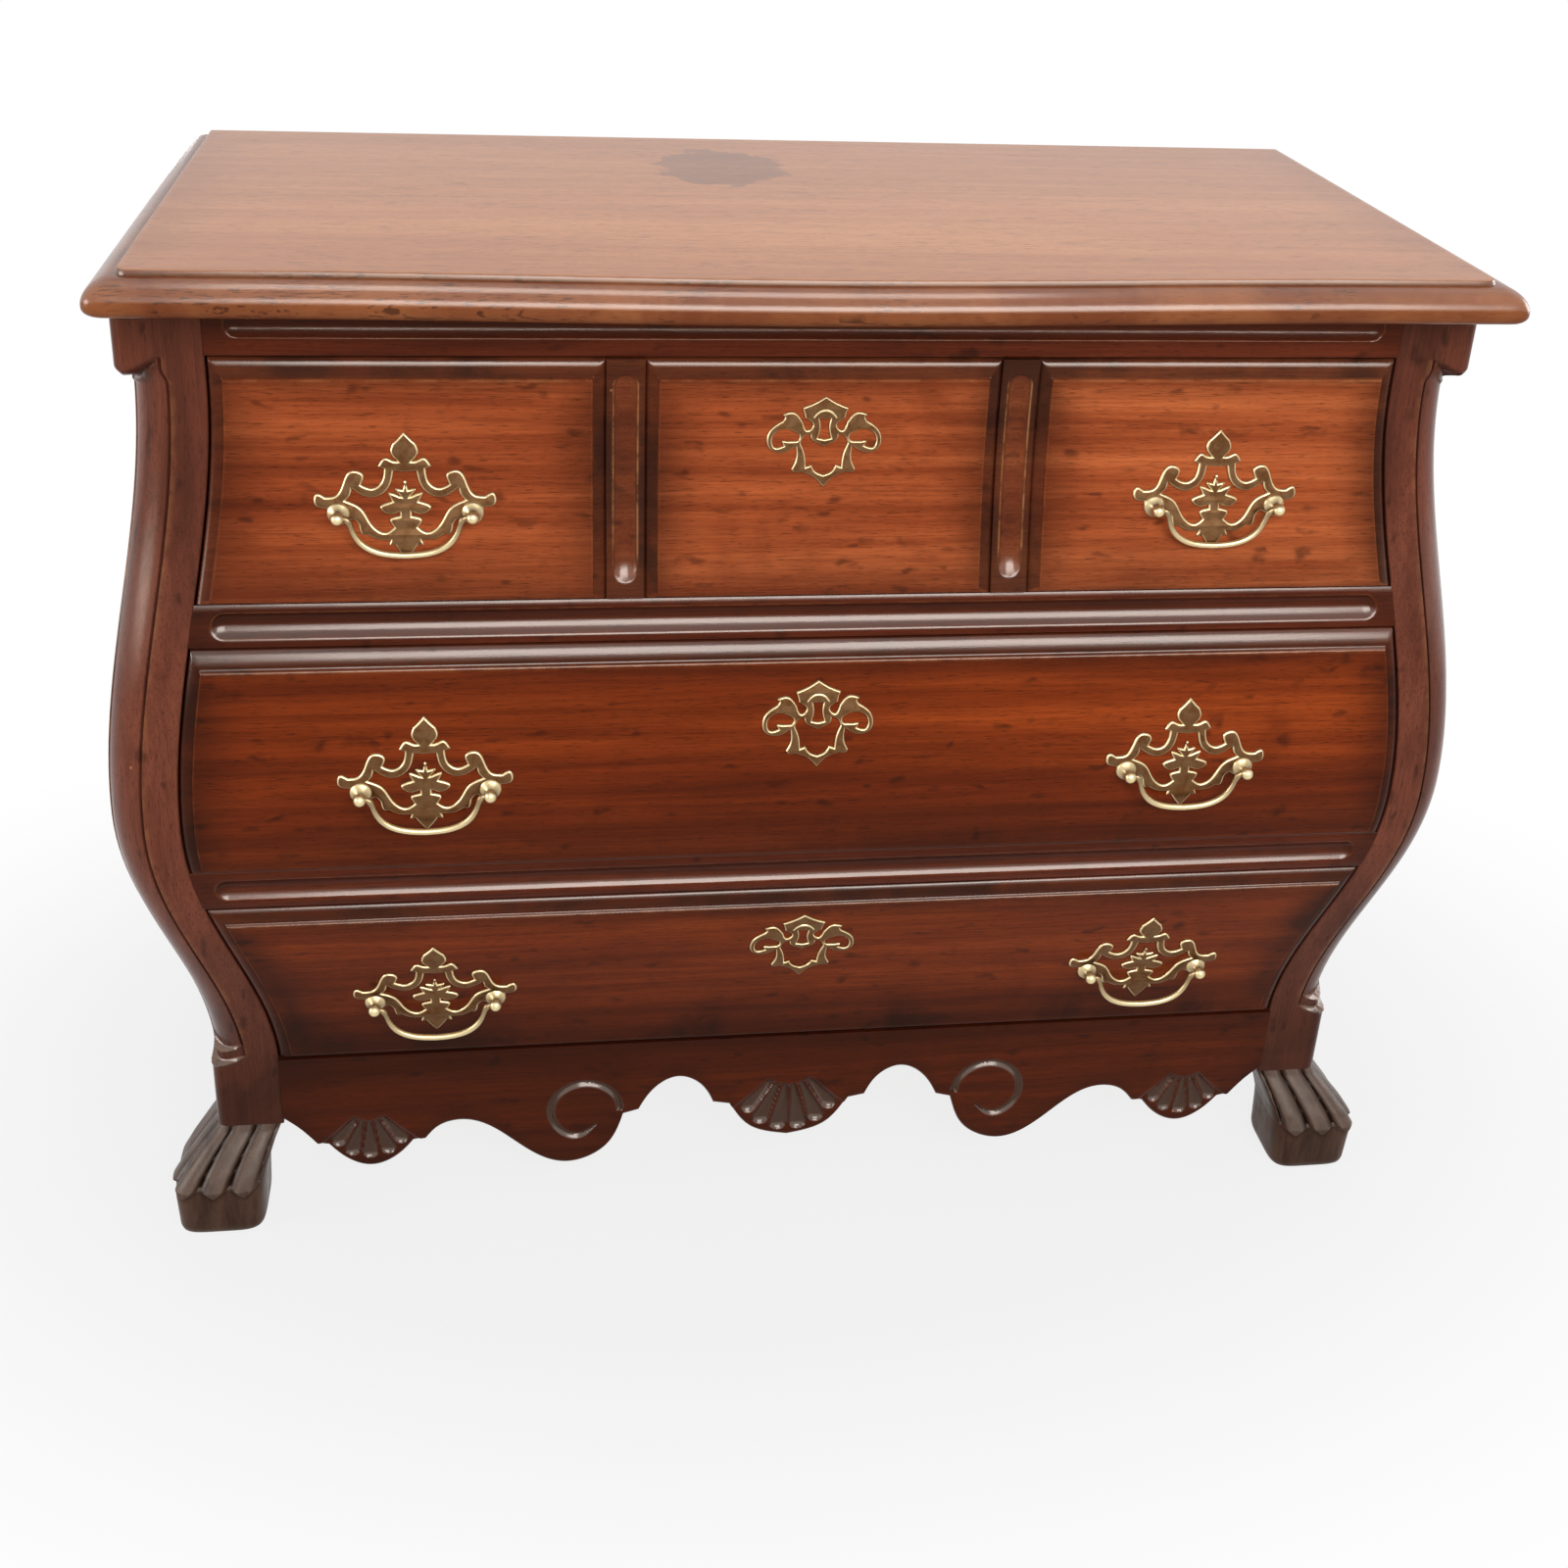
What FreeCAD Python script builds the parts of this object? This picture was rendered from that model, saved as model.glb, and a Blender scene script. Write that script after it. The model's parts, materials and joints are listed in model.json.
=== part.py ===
import FreeCAD, Part
import math
import os
import re
from FreeCAD import Placement, Rotation, Vector

# A bombe chest: a swelled case with three drawers, brass bail pulls, a shaped apron and paw feet.
# Millimetres, +Z up, floor at z = 0, front towards -Y, origin under the middle of the chest.

SIZES = {
    # Top board
    "chest_height": 883,
    "top_thickness": 30,
    "top_width": 1080,
    "top_depth": 508,
    "top_bow": 13,
    "bow_half_width": 420,
    "top_edge_width": 22,
    "top_edge_step": 4,
    "top_corner": 12,
    "top_nose": 15,
    "top_under": 6,
    "back_overhang": 6,
    # Swell of the case: heights, half widths of the drawer openings, depths behind the top's front edge
    "neck_level": 785,
    "belly_level": 428,
    "ankle_level": 155,
    "neck_half": 469,
    "belly_half": 508.5,
    "ankle_half": 452,
    "neck_setback": 77,
    "belly_setback": 20,
    "ankle_setback": 57,
    # Corner posts
    "post_width": 58,
    "post_depth": 130,
    "stile_width": 27,
    "bead_width": 3,
    "bead_depth": 2,
    "pilaster_bulge": 3,
    "cap_level": 782,
    "cap_projection": 9,
    "cap_slope": 13,
    "cap_round": 10,
    "leg_level": 172,
    "leg_round": 10,
    "rear_post_depth": 50,
    "rear_post_width": 45,
    # Panels and rails
    "side_thickness": 18,
    "side_reveal": 2,
    "side_bottom": 112,
    "back_thickness": 8,
    "back_inset": 2,
    "frame_drop": 5,
    "flute_height": 20,
    "flute_depth": 4,
    "flute_end": 15,
    "bottom_rail_height": 21,
    # Drawer openings
    "top_floor": 612,
    "top_ceiling": 805,
    "middle_floor": 386,
    "middle_ceiling": 579,
    "bottom_floor": 171,
    "bottom_ceiling": 348,
    "drawer_gap": 1.5,
    "joint_gap": 0.1,
    "running_gap": 0.3,
    # Drawer fronts
    "front_thickness": 20,
    "lip_side": 10,
    "lip_top": 18,
    "lip_bottom": 6,
    "lip_drop": 7,
    "lip_round": 6,
    "divider_place": 156,
    "divider_width": 30,
    "divider_drop": 3,
    "divider_end": 3,
    "divider_flute": 19,
    "divider_flute_depth": 4,
    "divider_flute_end": 12,
    # Drawer boxes and what carries them
    "box_side_gap": 6,
    "box_board": 12,
    "box_top_gap": 30,
    "box_back_gap": 14,
    "bottom_board": 6,
    "bottom_rise": 12,
    "groove_depth": 5,
    "runner_width": 40,
    "runner_height": 18,
    "guide_width": 14,
    "guide_height": 22,
    "guide_gap": 1,
    "dust_thickness": 5,
    "dust_drop": 8,
    "kicker_width": 30,
    "kicker_height": 38,
    "stop_place": 200,
    "stop_length": 40,
    "stop_depth": 14,
    "stop_height": 8,
    # Apron
    "apron_setback": 62,
    "apron_thickness": 22,
    "bracket_lift": 8,
    "scroll_place": 187,
    "scroll_level": 97,
    "scroll_radius": 30,
    "scroll_bead": 4.5,
    "shell_hub_level": 142,
    "shell_inner": 26,
    "shell_reach": 80,
    "side_shell_inset": 74,
    "side_shell_hub_level": 118,
    "side_shell_inner": 18,
    "side_shell_reach": 60,
    "shell_flute": 5.5,
    # Feet
    "foot_height": 98,
    "foot_splay": 28,
    "foot_reach": 25,
    "paw_level": 50,
    "paw_underside": 43,
    "pad_level": 38,
    "paw_half_width": 42,
    "paw_half_depth": 41,
    "pad_half_width": 38,
    "pad_half_depth": 38,
    "pad_round": 6,
    "toe_groove": 4.5,
    "rear_foot_splay": 10,
    "rear_pad_half_width": 22,
    # Pulls and escutcheons
    "top_pull_place": 325,
    "middle_pull_place": 315,
    "bottom_pull_place": 315,
    "top_pull_level": 684,
    "middle_pull_level": 462,
    "bottom_pull_level": 236,
    "top_keyhole_level": 739,
    "middle_keyhole_level": 511,
    "bottom_keyhole_level": 284,
    "plate_thickness": 2.5,
    "plate_gap": 0.05,
    "post_spacing": 102,
    "post_reach": 11,
    "knob_radius": 6,
    "neck_radius": 3.5,
    "flange_radius": 8.5,
    "flange_height": 4.5,
    "neck_lift": 0.8,
    "shank_radius": 2.4,
    "shank_gap": 0.1,
    "nut_radius": 5.5,
    "nut_thickness": 4,
    "shank_end": 7,
    "bail_drop": 36,
    "bail_radius": 2.6,
    "pin_radius": 2,
    "pin_gap": 0.1,
    "pin_depth": 4,
    "pin_shoulder": 0.5,
}

DRAWERS = ("top", "middle", "bottom")
# Height between the points that a swelled curve passes through
CURVE_STEP = 40
MIRROR_X = Vector(1, 0, 0)

doc = FreeCAD.newDocument("bombe_chest")
sheet = doc.addObject("Spreadsheet::Sheet", "Sizes")
nodes = {}


def swell_text(level, neck, belly, ankle):
    """The sheet formula of the swell at a level: a raised cosine from the belly to the neck or the ankle."""
    above = f"({neck} - {belly}) * (1 - cos(180deg * min(1; ({level} - belly_level)"
    above += " / (neck_level - belly_level)))) / 2"
    below = f"({ankle} - {belly}) * (1 - cos(180deg * min(1; (belly_level - {level})"
    below += " / (belly_level - ankle_level)))) / 2"
    return f"{belly} + ({level} > belly_level ? {above} : {below})"


def derived_sizes():
    """Sheet formulas for the planes and widths that several pieces share."""
    formulas = {
        "case_top": "chest_height - top_thickness",
        "front_plane": "-top_depth / 2",
        "case_back": "top_depth / 2 - back_overhang",
        "frame_back": "front_plane + post_depth",
        "back_plane": "case_back - back_inset - back_thickness",
        "box_end": "back_plane - box_back_gap",
    }
    for name in DRAWERS:
        ends = (f"{name}_floor", f"{name}_ceiling")
        widths = [swell_text(end, "neck_half", "belly_half", "ankle_half") for end in ends]
        depths = [swell_text(end, "neck_setback", "belly_setback", "ankle_setback") for end in ends]
        formulas[f"{name}_box_half"] = f"min({widths[0]}; {widths[1]}) - box_side_gap"
        formulas[f"{name}_front_back"] = f"front_plane + max({depths[0]}; {depths[1]}) + front_thickness"
    return formulas


def fill_sheet():
    """Writes every driving size and every formula into the sheet, each with its alias."""
    rows = [(alias, str(value)) for alias, value in SIZES.items()]
    rows += [(alias, "=" + formula) for alias, formula in derived_sizes().items()]
    for row, (alias, text) in enumerate(rows, 1):
        sheet.set(f"A{row}", alias)
        sheet.set(f"B{row}", text)
        sheet.setAlias(f"B{row}", alias)
    doc.recompute()
    return {alias for alias, text in rows}


ALIASES = fill_sheet()


def size(alias):
    return float(getattr(sheet, alias))


def tie(item, path, formula):
    """Binds one property to a formula written in the sheet's words."""
    def with_sheet(word):
        return "Sizes." + word[0] if word[0] in ALIASES else word[0]

    item.setExpression(path, re.sub(r"[a-z][a-z_]*", with_sheet, formula))


def place(item, x, y, z):
    for axis, formula in zip("xyz", (x, y, z)):
        tie(item, f"Placement.Base.{axis}", formula)


def board(label, length, width, height, x, y, z):
    """A squared board with its lowest corner at x, y, z."""
    item = doc.addObject("Part::Box", label)
    for path, formula in zip(("Length", "Width", "Height"), (length, width, height)):
        tie(item, path, formula)
    place(item, x, y, z)
    return item


def rod(label, radius, height, x, y, z, turn):
    """A round rod from x, y, z along its turned axis."""
    item = doc.addObject("Part::Cylinder", label)
    tie(item, "Radius", radius)
    tie(item, "Height", height)
    item.Placement = Placement(Vector(), turn)
    place(item, x, y, z)
    return item


def ball(label, radius, x, y, z):
    item = doc.addObject("Part::Sphere", label)
    tie(item, "Radius", radius)
    place(item, x, y, z)
    return item


def feature(label, shape):
    item = doc.addObject("Part::Feature", label)
    item.Shape = shape
    return item


def fuse(label, pieces):
    item = doc.addObject("Part::MultiFuse", label)
    item.Shapes = pieces
    item.Refine = True
    return item


def group(label, pieces):
    item = doc.addObject("Part::Compound", label)
    item.Links = pieces
    return item


def common(label, one, other):
    item = doc.addObject("Part::Common", label)
    item.Base = one
    item.Tool = other
    return item


def cut(label, base, tools):
    item = doc.addObject("Part::Cut", label)
    item.Base = base
    item.Tool = tools[0] if len(tools) == 1 else group(label + "_cutters", tools)
    return item


def mirror(label, source):
    item = doc.addObject("Part::Mirroring", label)
    item.Source = source
    item.Normal = MIRROR_X
    return item


def node(label, item):
    """Names one finished sub-part."""
    item.Label = label
    nodes[label] = item
    return item


def pair(label, left):
    """The left piece and its mirror image, as two nodes."""
    node("left_" + label, left)
    node("right_" + label, mirror("right_" + label, left))


ALONG_X = Rotation(Vector(0, 1, 0), 90)
ALONG_Y = Rotation(Vector(1, 0, 0), -90)


def swell(level, neck, belly, ankle):
    """The same raised cosine as in the sheet, for any level."""
    rise = level - size("belly_level")
    far_level, far = ("neck_level", neck) if rise > 0 else ("ankle_level", ankle)
    share = min(1, rise / (size(far_level) - size("belly_level")))
    return size(belly) + (size(far) - size(belly)) * (1 - math.cos(math.pi * share)) / 2


def edge_x(level):
    """Half width of the drawer opening at a level."""
    return swell(level, "neck_half", "belly_half", "ankle_half")


def face_y(level):
    """Depth of the swelled front at a level."""
    return size("front_plane") + swell(level, "neck_setback", "belly_setback", "ankle_setback")


def outer_x(level):
    """Outer face of the side panels and rear posts at a level."""
    return edge_x(level) + size("post_width") - size("side_reveal")


def levels(low, high):
    """Heights that a swelled curve passes through."""
    count = max(4, math.ceil((high - low) / CURVE_STEP) + 1)
    return [low + (high - low) * step / (count - 1) for step in range(count)]


def smooth(points):
    """One smooth curve through the points."""
    if len(points) == 2:
        return Part.makeLine(points[0], points[1])
    curve = Part.BSplineCurve()
    curve.interpolate(points)
    return curve.toShape()


def face_of(runs):
    """A flat face inside a closed chain of smooth runs."""
    return Part.Face(Part.Wire([smooth(run) for run in runs]))


def swelled_slab(low, high, front_shift, back_shift=None, back=None):
    """A block across the chest from the shifted swelled front to a second shifted front or a flat back."""
    reach = size("belly_half") + size("post_width")
    front = [Vector(-reach, face_y(level) + front_shift, level) for level in levels(low, high)]
    if back is None:
        rear = [Vector(-reach, face_y(level) + back_shift, level) for level in levels(low, high)]
    else:
        rear = [Vector(-reach, back, low), Vector(-reach, back, high)]
    profile = face_of([front, [front[-1], rear[-1]], rear[::-1], [rear[0], front[0]]])
    return profile.extrude(Vector(2 * reach, 0, 0))


def swelled_strip(low, high, left, right):
    """A block through the chest's depth between two curves of the height, given as functions."""
    near = size("front_plane")
    one = [Vector(left(level), near, level) for level in levels(low, high)]
    other = [Vector(right(level), near, level) for level in levels(low, high)]
    outline = face_of([one, [one[-1], other[-1]], other[::-1], [other[0], one[0]]])
    return outline.extrude(Vector(0, size("top_depth"), 0))


def within_opening(low, high, gap):
    return swelled_strip(low, high, lambda level: gap - edge_x(level), lambda level: edge_x(level) - gap)


def top_outline(inset):
    """Outline of the top: straight back and ends, rounded front corners, a shallow bow in the front edge."""
    half = size("top_width") / 2 - inset
    back = size("top_depth") / 2
    front = size("front_plane") + size("top_bow") + inset
    bow = size("bow_half_width")
    corner = size("top_corner")
    level = size("case_top")
    turn = corner * (1 - math.sqrt(0.5))
    steps = [bow * step / 4 for step in range(-4, 5)]
    crest = [Vector(x, front - size("top_bow") * (1 + math.cos(math.pi * x / bow)) / 2, level) for x in steps]
    bend = Part.BSplineCurve()
    bend.interpolate(crest, InitialTangent=Vector(1, 0, 0), FinalTangent=Vector(1, 0, 0))
    left = Part.Arc(Vector(-half, front + corner, level), Vector(turn - half, front + turn, level),
                    Vector(corner - half, front, level)).toShape()
    right = Part.Arc(Vector(half - corner, front, level), Vector(half - turn, front + turn, level),
                     Vector(half, front + corner, level)).toShape()
    edges = [
        Part.makeLine(Vector(-half, back, level), Vector(-half, front + corner, level)),
        left,
        Part.makeLine(Vector(corner - half, front, level), crest[0]),
        bend.toShape(),
        Part.makeLine(crest[-1], Vector(half - corner, front, level)),
        right,
        Part.makeLine(Vector(half, front + corner, level), Vector(half, back, level)),
        Part.makeLine(Vector(half, back, level), Vector(-half, back, level)),
    ]
    return Part.Face(Part.Wire(edges))


def raised(label, outline, height):
    """An outline drawn upwards by a height from the sheet."""
    item = doc.addObject("Part::Extrusion", label)
    item.Base = feature(label + "_outline", outline)
    item.DirMode = "Custom"
    item.Dir = Vector(0, 0, 1)
    item.Solid = True
    tie(item, "LengthFwd", height)
    return item


def build_top():
    """Top board: a rounded nose under a small step, with a flat field inside it."""
    slab = raised("top_slab", top_outline(0), "top_thickness - top_edge_step")
    field = raised("top_field", top_outline(size("top_edge_width")), "top_thickness")
    doc.recompute()
    crest = size("chest_height") - size("top_edge_step")
    rounds = []
    for index, edge in enumerate(slab.Shape.Edges, 1):
        box = edge.BoundBox
        if box.ZLength > 1 or box.YMin > size("top_depth") / 2 - 1:
            continue
        radius = size("top_nose") if box.ZMin > crest - 1 else size("top_under")
        rounds.append((index, radius, radius))
    moulded = doc.addObject("Part::Fillet", "top_moulding")
    moulded.Base = slab
    moulded.Edges = rounds
    node("top_board", fuse("top_board", [moulded, field]))


def post_corners(level, width):
    """The left post's inner and outer faces and its front at a level."""
    inner = edge_x(level)
    return -inner, -inner - width, face_y(level) + size("frame_drop")


def block_section(level, width, corner):
    """Section of the cap block or the leg: a square post with its outer front corner rounded."""
    inner, outer, front = post_corners(level, width)
    back = size("frame_back")
    start = Vector(outer + corner, front, level)
    end = Vector(outer, front + corner, level)
    near = corner * (1 - math.sqrt(0.5))
    middle = Vector(outer + near, front + near, level)
    return Part.Wire([
        Part.makeLine(Vector(inner, back, level), Vector(inner, front, level)),
        Part.makeLine(Vector(inner, front, level), start),
        Part.Arc(start, middle, end).toShape(),
        Part.makeLine(end, Vector(outer, back, level)),
        Part.makeLine(Vector(outer, back, level), Vector(inner, back, level)),
    ])


def shaft_section(level, width):
    """Section of the shaft: flat stile, sunk bead line, rounded pilaster, second bead line, flat side."""
    inner, outer, front = post_corners(level, width)
    back = size("frame_back")
    bead = size("bead_width")
    deep = size("bead_depth")
    reach = width - size("stile_width")
    stile = inner - size("stile_width")
    start = Vector(stile - bead, front + deep, level)
    end = Vector(outer + deep, front + reach - bead, level)
    bulge = size("pilaster_bulge")
    middle = (start + end) * 0.5 + Vector(-bulge, -bulge, 0)
    corners = [Vector(inner, back, level), Vector(inner, front, level), Vector(stile, front, level),
               Vector(stile, front + deep, level), start]
    others = [end, Vector(outer + deep, front + reach, level), Vector(outer, front + reach, level),
              Vector(outer, back, level), corners[0]]
    edges = [Part.makeLine(one, other) for one, other in zip(corners, corners[1:])]
    edges.append(Part.Arc(start, middle, end).toShape())
    edges += [Part.makeLine(one, other) for one, other in zip(others, others[1:])]
    return Part.Wire(edges)


def build_front_posts():
    """Front posts: a swelled shaft with a rounded pilaster, a cap block that flares out and a plain leg."""
    width = size("post_width")
    foot, ankle, neck, crown = (size(name) for name in ("foot_height", "leg_level", "cap_level", "case_top"))
    shaft = [shaft_section(level, width) for level in levels(ankle, neck)]
    leg = [block_section(level, width, size("leg_round")) for level in levels(foot, ankle)]
    cap_width = width + size("cap_projection")
    cap_steps = ((neck, width), (neck + size("cap_slope"), cap_width), (crown, cap_width))
    cap = [block_section(level, wide, size("cap_round")) for level, wide in cap_steps]
    pieces = [feature("post_" + name, Part.makeLoft(sections, True, name == "cap"))
              for name, sections in (("shaft", shaft), ("leg", leg), ("cap", cap))]
    pair("front_post", fuse("left_front_post", pieces))


def build_sides():
    """Side panels and rear posts: strips that follow the swell, seated behind the front posts."""
    gap = size("running_gap")
    panel = swelled_strip(size("side_bottom"), size("case_top"), lambda level: -outer_x(level),
                          lambda level: size("side_thickness") - outer_x(level))
    panel_span = board("side_span", "top_width + 2 * post_width",
                       "case_back - rear_post_depth - frame_back - 2 * joint_gap", "chest_height",
                       "-top_width / 2 - post_width", "frame_back + joint_gap", "0")
    pair("side_panel", common("left_side_panel", feature("side_strip", panel), panel_span))
    post = swelled_strip(size("foot_height"), size("case_top"), lambda level: -outer_x(level),
                         lambda level: size("rear_post_width") - outer_x(level))
    post_span = board("rear_span", "top_width + 2 * post_width", "rear_post_depth", "chest_height",
                      "-top_width / 2 - post_width", "case_back - rear_post_depth", "0")
    pair("rear_post", common("left_rear_post", feature("rear_strip", post), post_span))
    between = swelled_strip(size("side_bottom"), size("case_top"),
                            lambda level: size("rear_post_width") + gap - outer_x(level),
                            lambda level: outer_x(level) - size("rear_post_width") - gap)
    back_span = board("back_span", "top_width", "back_thickness", "chest_height", "-top_width / 2",
                      "back_plane", "0")
    node("back_panel", common("back_panel", feature("back_outline", between), back_span))


def flute(label, level, half_length, front):
    """Cutter for a round-ended flute, centred on the chest, sunk to the flute's depth in a front."""
    height = size("flute_height")
    depth = size("flute_depth")
    radius = (height * height / 4 + depth * depth) / (2 * depth)
    centre = front + depth - radius
    bar = Part.makeCylinder(radius, 2 * half_length, Vector(-half_length, centre, level), Vector(1, 0, 0))
    ends = [Part.makeSphere(radius, Vector(x, centre, level)) for x in (-half_length, half_length)]
    return feature(label, bar.fuse(ends))


def build_rails():
    """Three rails that follow the swell, each with one long round-ended flute."""
    drop = size("frame_drop")
    spans = (("top_rail", "top_ceiling", "case_top"), ("upper_rail", "middle_ceiling", "top_floor"),
             ("lower_rail", "bottom_ceiling", "middle_floor"))
    for label, low_alias, high_alias in spans:
        low, high = size(low_alias), size(high_alias)
        middle = (low + high) / 2
        slab = swelled_slab(low, high, drop, back=size("frame_back"))
        solid = common(label + "_blank", feature(label + "_slab", slab),
                       feature(label + "_outline", within_opening(low, high, size("joint_gap"))))
        half = edge_x(middle) - size("flute_end") - size("flute_height") / 2
        groove = flute(label + "_flute", middle, half, face_y(middle) + drop)
        node(label, cut(label, solid, [groove]))
    behind_apron = "apron_setback + apron_thickness + joint_gap"
    node("bottom_rail",
         board("bottom_rail", "2 * (ankle_half - joint_gap)", f"post_depth - ({behind_apron})",
               "bottom_rail_height", "joint_gap - ankle_half", f"front_plane + {behind_apron}",
               "bottom_floor - bottom_rail_height"))


# Runs of the apron's lower edge, each across and up from the hub of a shell or the centre of a scroll
BRACKET = [(62, -23), (46, -43)]
SIDE_LOBE = [(36, -45), (24, -59), (0, -71), (-25, -60), (-38, -45)]
SIDE_COVE = [(-49, -43), (-62, -29), (-82, -24)]
SCROLL_LOBE = [(56, -37), (16, -58), (-19, -42), (-35, -6)]
ARCH = [(-49, -2), (-63, 21), (-85, 33)]
SHELL_ARCH = [(81, -23), (70, -43)]
SHELL_LOBE = [(55, -46), (34, -75), (0, -86)]


def apron_outline():
    """Half of the apron's lower edge, from the post to the middle, as runs between its cusps."""
    def around(centre, run):
        return [(centre[0] + across, centre[1] + up) for across, up in run]

    side = (size("ankle_half") - size("side_shell_inset"), size("side_shell_hub_level"))
    scroll = (size("scroll_place"), size("scroll_level"))
    shell = (0, size("shell_hub_level"))
    start = (size("ankle_half") - size("joint_gap"), size("foot_height") + size("bracket_lift"))
    bracket = [start] + around(side, BRACKET)
    side_lobe = around(side, SIDE_LOBE)
    cove = around(side, SIDE_COVE) + around(scroll, SCROLL_LOBE)
    arch = around(scroll, ARCH) + around(shell, SHELL_ARCH)
    shell_lobe = around(shell, SHELL_LOBE)
    curves = (bracket, side_lobe, cove, arch, shell_lobe)
    runs = []
    for curve, after in zip(curves, curves[1:]):
        runs += [curve, [curve[-1], after[0]]]
    return runs + [shell_lobe]


def shell_cutters(label, place_x, hub, inner, reach, angles):
    """Scooped flutes of a carved shell, fanning out below its hub on the apron's face."""
    front = size("front_plane") + size("apron_setback")
    width = size("shell_flute") * reach / size("shell_reach")
    cutters = []
    for index, angle in enumerate(angles):
        lean = math.radians(angle)
        way = Vector(math.sin(lean), 0, -math.cos(lean))
        length = reach * math.cos(lean) ** 0.6 - width - inner
        start = Vector(place_x, front - width / 4, hub) + way * inner
        scoop = Part.makeCone(width * 0.45, width, length, start, way)
        end = Part.makeSphere(width, start + way * length)
        cutters.append(feature(f"{label}_flute_{index}", scoop.fuse(end)))
    return cutters


def build_apron():
    """Shaped apron with scooped shells and raised scrolls."""
    front = size("front_plane") + size("apron_setback")
    right = [[Vector(x, front, z) for x, z in run] for run in apron_outline()]
    left = [[Vector(-x, front, z) for x, z in run[::-1]] for run in apron_outline()[::-1]]
    edge = size("ankle_half") - size("joint_gap")
    crown = size("bottom_floor")
    ends = [Vector(-edge, front, crown), Vector(edge, front, crown)]
    outline = face_of(right + left + [[left[-1][-1], ends[0]], ends, [ends[1], right[0][0]]])
    blank = doc.addObject("Part::Extrusion", "apron_blank")
    blank.Base = feature("apron_outline", outline)
    blank.DirMode = "Custom"
    blank.Dir = Vector(0, 1, 0)
    blank.Solid = True
    tie(blank, "LengthFwd", "apron_thickness")
    scrolls = []
    for side in (-1, 1):
        ring = doc.addObject("Part::Torus", "scroll_ring")
        tie(ring, "Radius1", "scroll_radius")
        tie(ring, "Radius2", "scroll_bead")
        ring.Angle3 = 290
        begin = 0 if side < 0 else -110
        ring.Placement = Placement(Vector(), Rotation(Vector(1, 0, 0), 90) * Rotation(Vector(0, 0, 1), begin))
        place(ring, f"{side} * scroll_place", "front_plane + apron_setback", "scroll_level")
        scrolls.append(ring)
    cutters = shell_cutters("shell", 0, size("shell_hub_level"), size("shell_inner"), size("shell_reach"),
                            (-37, -23, -8, 8, 23, 37))
    for side in (-1, 1):
        place_x = side * (size("ankle_half") - size("side_shell_inset"))
        cutters += shell_cutters("side_shell", place_x, size("side_shell_hub_level"),
                                 size("side_shell_inner"), size("side_shell_reach"), (-34, -12, 12, 34))
    node("apron", cut("apron", fuse("apron_relief", [blank] + scrolls), cutters))


def rounded_section(centre_x, centre_y, half_width, half_depth, corner, level):
    """A rectangle with rounded corners, as one wire."""
    points = []
    for turn in range(4):
        angle = math.pi / 2 * turn
        across = half_width - corner if turn in (0, 3) else corner - half_width
        deep = half_depth - corner if turn in (0, 1) else corner - half_depth
        for share in (0, 0.5, 1):
            bearing = angle + share * math.pi / 2
            points.append(Vector(centre_x + across + corner * math.cos(bearing),
                                 centre_y + deep + corner * math.sin(bearing), level))
    edges = []
    for turn in range(4):
        first, middle, last = points[3 * turn:3 * turn + 3]
        edges.append(Part.Arc(first, middle, last).toShape())
        edges.append(Part.makeLine(last, points[(3 * turn + 3) % 12]))
    return Part.Wire(edges)


# Grooves between the toes: places round the paw as shares of its half width and half depth
TOE_GROOVES = [(0.14, -1), (-0.52, -1), (-1, -0.6), (-1, 0.05)]


def toe_grooves(ankle, paw):
    """Tapered grooves between the toes, from the ankle down to the knuckles, round the front and outer side."""
    width = size("toe_groove")
    grooves = []
    for index, (across, deep) in enumerate(TOE_GROOVES):
        top, low = (Vector(centre_x + across * half_width, centre_y + deep * half_depth, size(level))
                    for (centre_x, centre_y, half_width, half_depth), level in
                    ((ankle, "foot_height"), (paw, "paw_level")))
        way = low - top
        above = top - way * (width / way.Length)
        cone = Part.makeCone(width * 0.6, width, way.Length + width, above, way)
        grooves.append(feature(f"toe_groove_{index}", cone.fuse(Part.makeSphere(width, low))))
    return grooves


def build_front_feet():
    """Paw feet: a lofted paw that leans out from the ankle, grooved between its toes, on a plain pad."""
    inner = edge_x(size("foot_height"))
    front = face_y(size("foot_height")) + size("frame_drop")
    ankle_half_width = size("post_width") / 2
    ankle_half_depth = (size("frame_back") - front) / 2
    ankle = (-(inner + ankle_half_width), front + ankle_half_depth, ankle_half_width, ankle_half_depth)
    paw = (ankle[0] - size("foot_splay"), ankle[1] - size("foot_reach"), size("paw_half_width"),
           size("paw_half_depth"))
    pad = (paw[0], paw[1], size("pad_half_width"), size("pad_half_depth"))
    instep = [(one + other) / 2 for one, other in zip(ankle, paw)]
    corner = size("leg_round")
    middle = (size("foot_height") + size("paw_level")) / 2
    underside = size("pad_round")
    sole = (pad[0], pad[1], pad[2] - underside, pad[3] - underside)
    stations = ((ankle, "foot_height"), (paw, "paw_level"), (paw, "paw_underside"), (pad, "pad_level"),
                (pad, "pad_round"))
    sections = [rounded_section(*station, corner, size(level)) for station, level in stations]
    sections.insert(1, rounded_section(*instep, corner, middle))
    sections.append(rounded_section(*sole, corner, 0))
    blank = feature("paw_blank", Part.makeLoft(sections, True, True))
    pair("front_foot", cut("left_front_foot", blank, toe_grooves(ankle, paw)))


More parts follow.
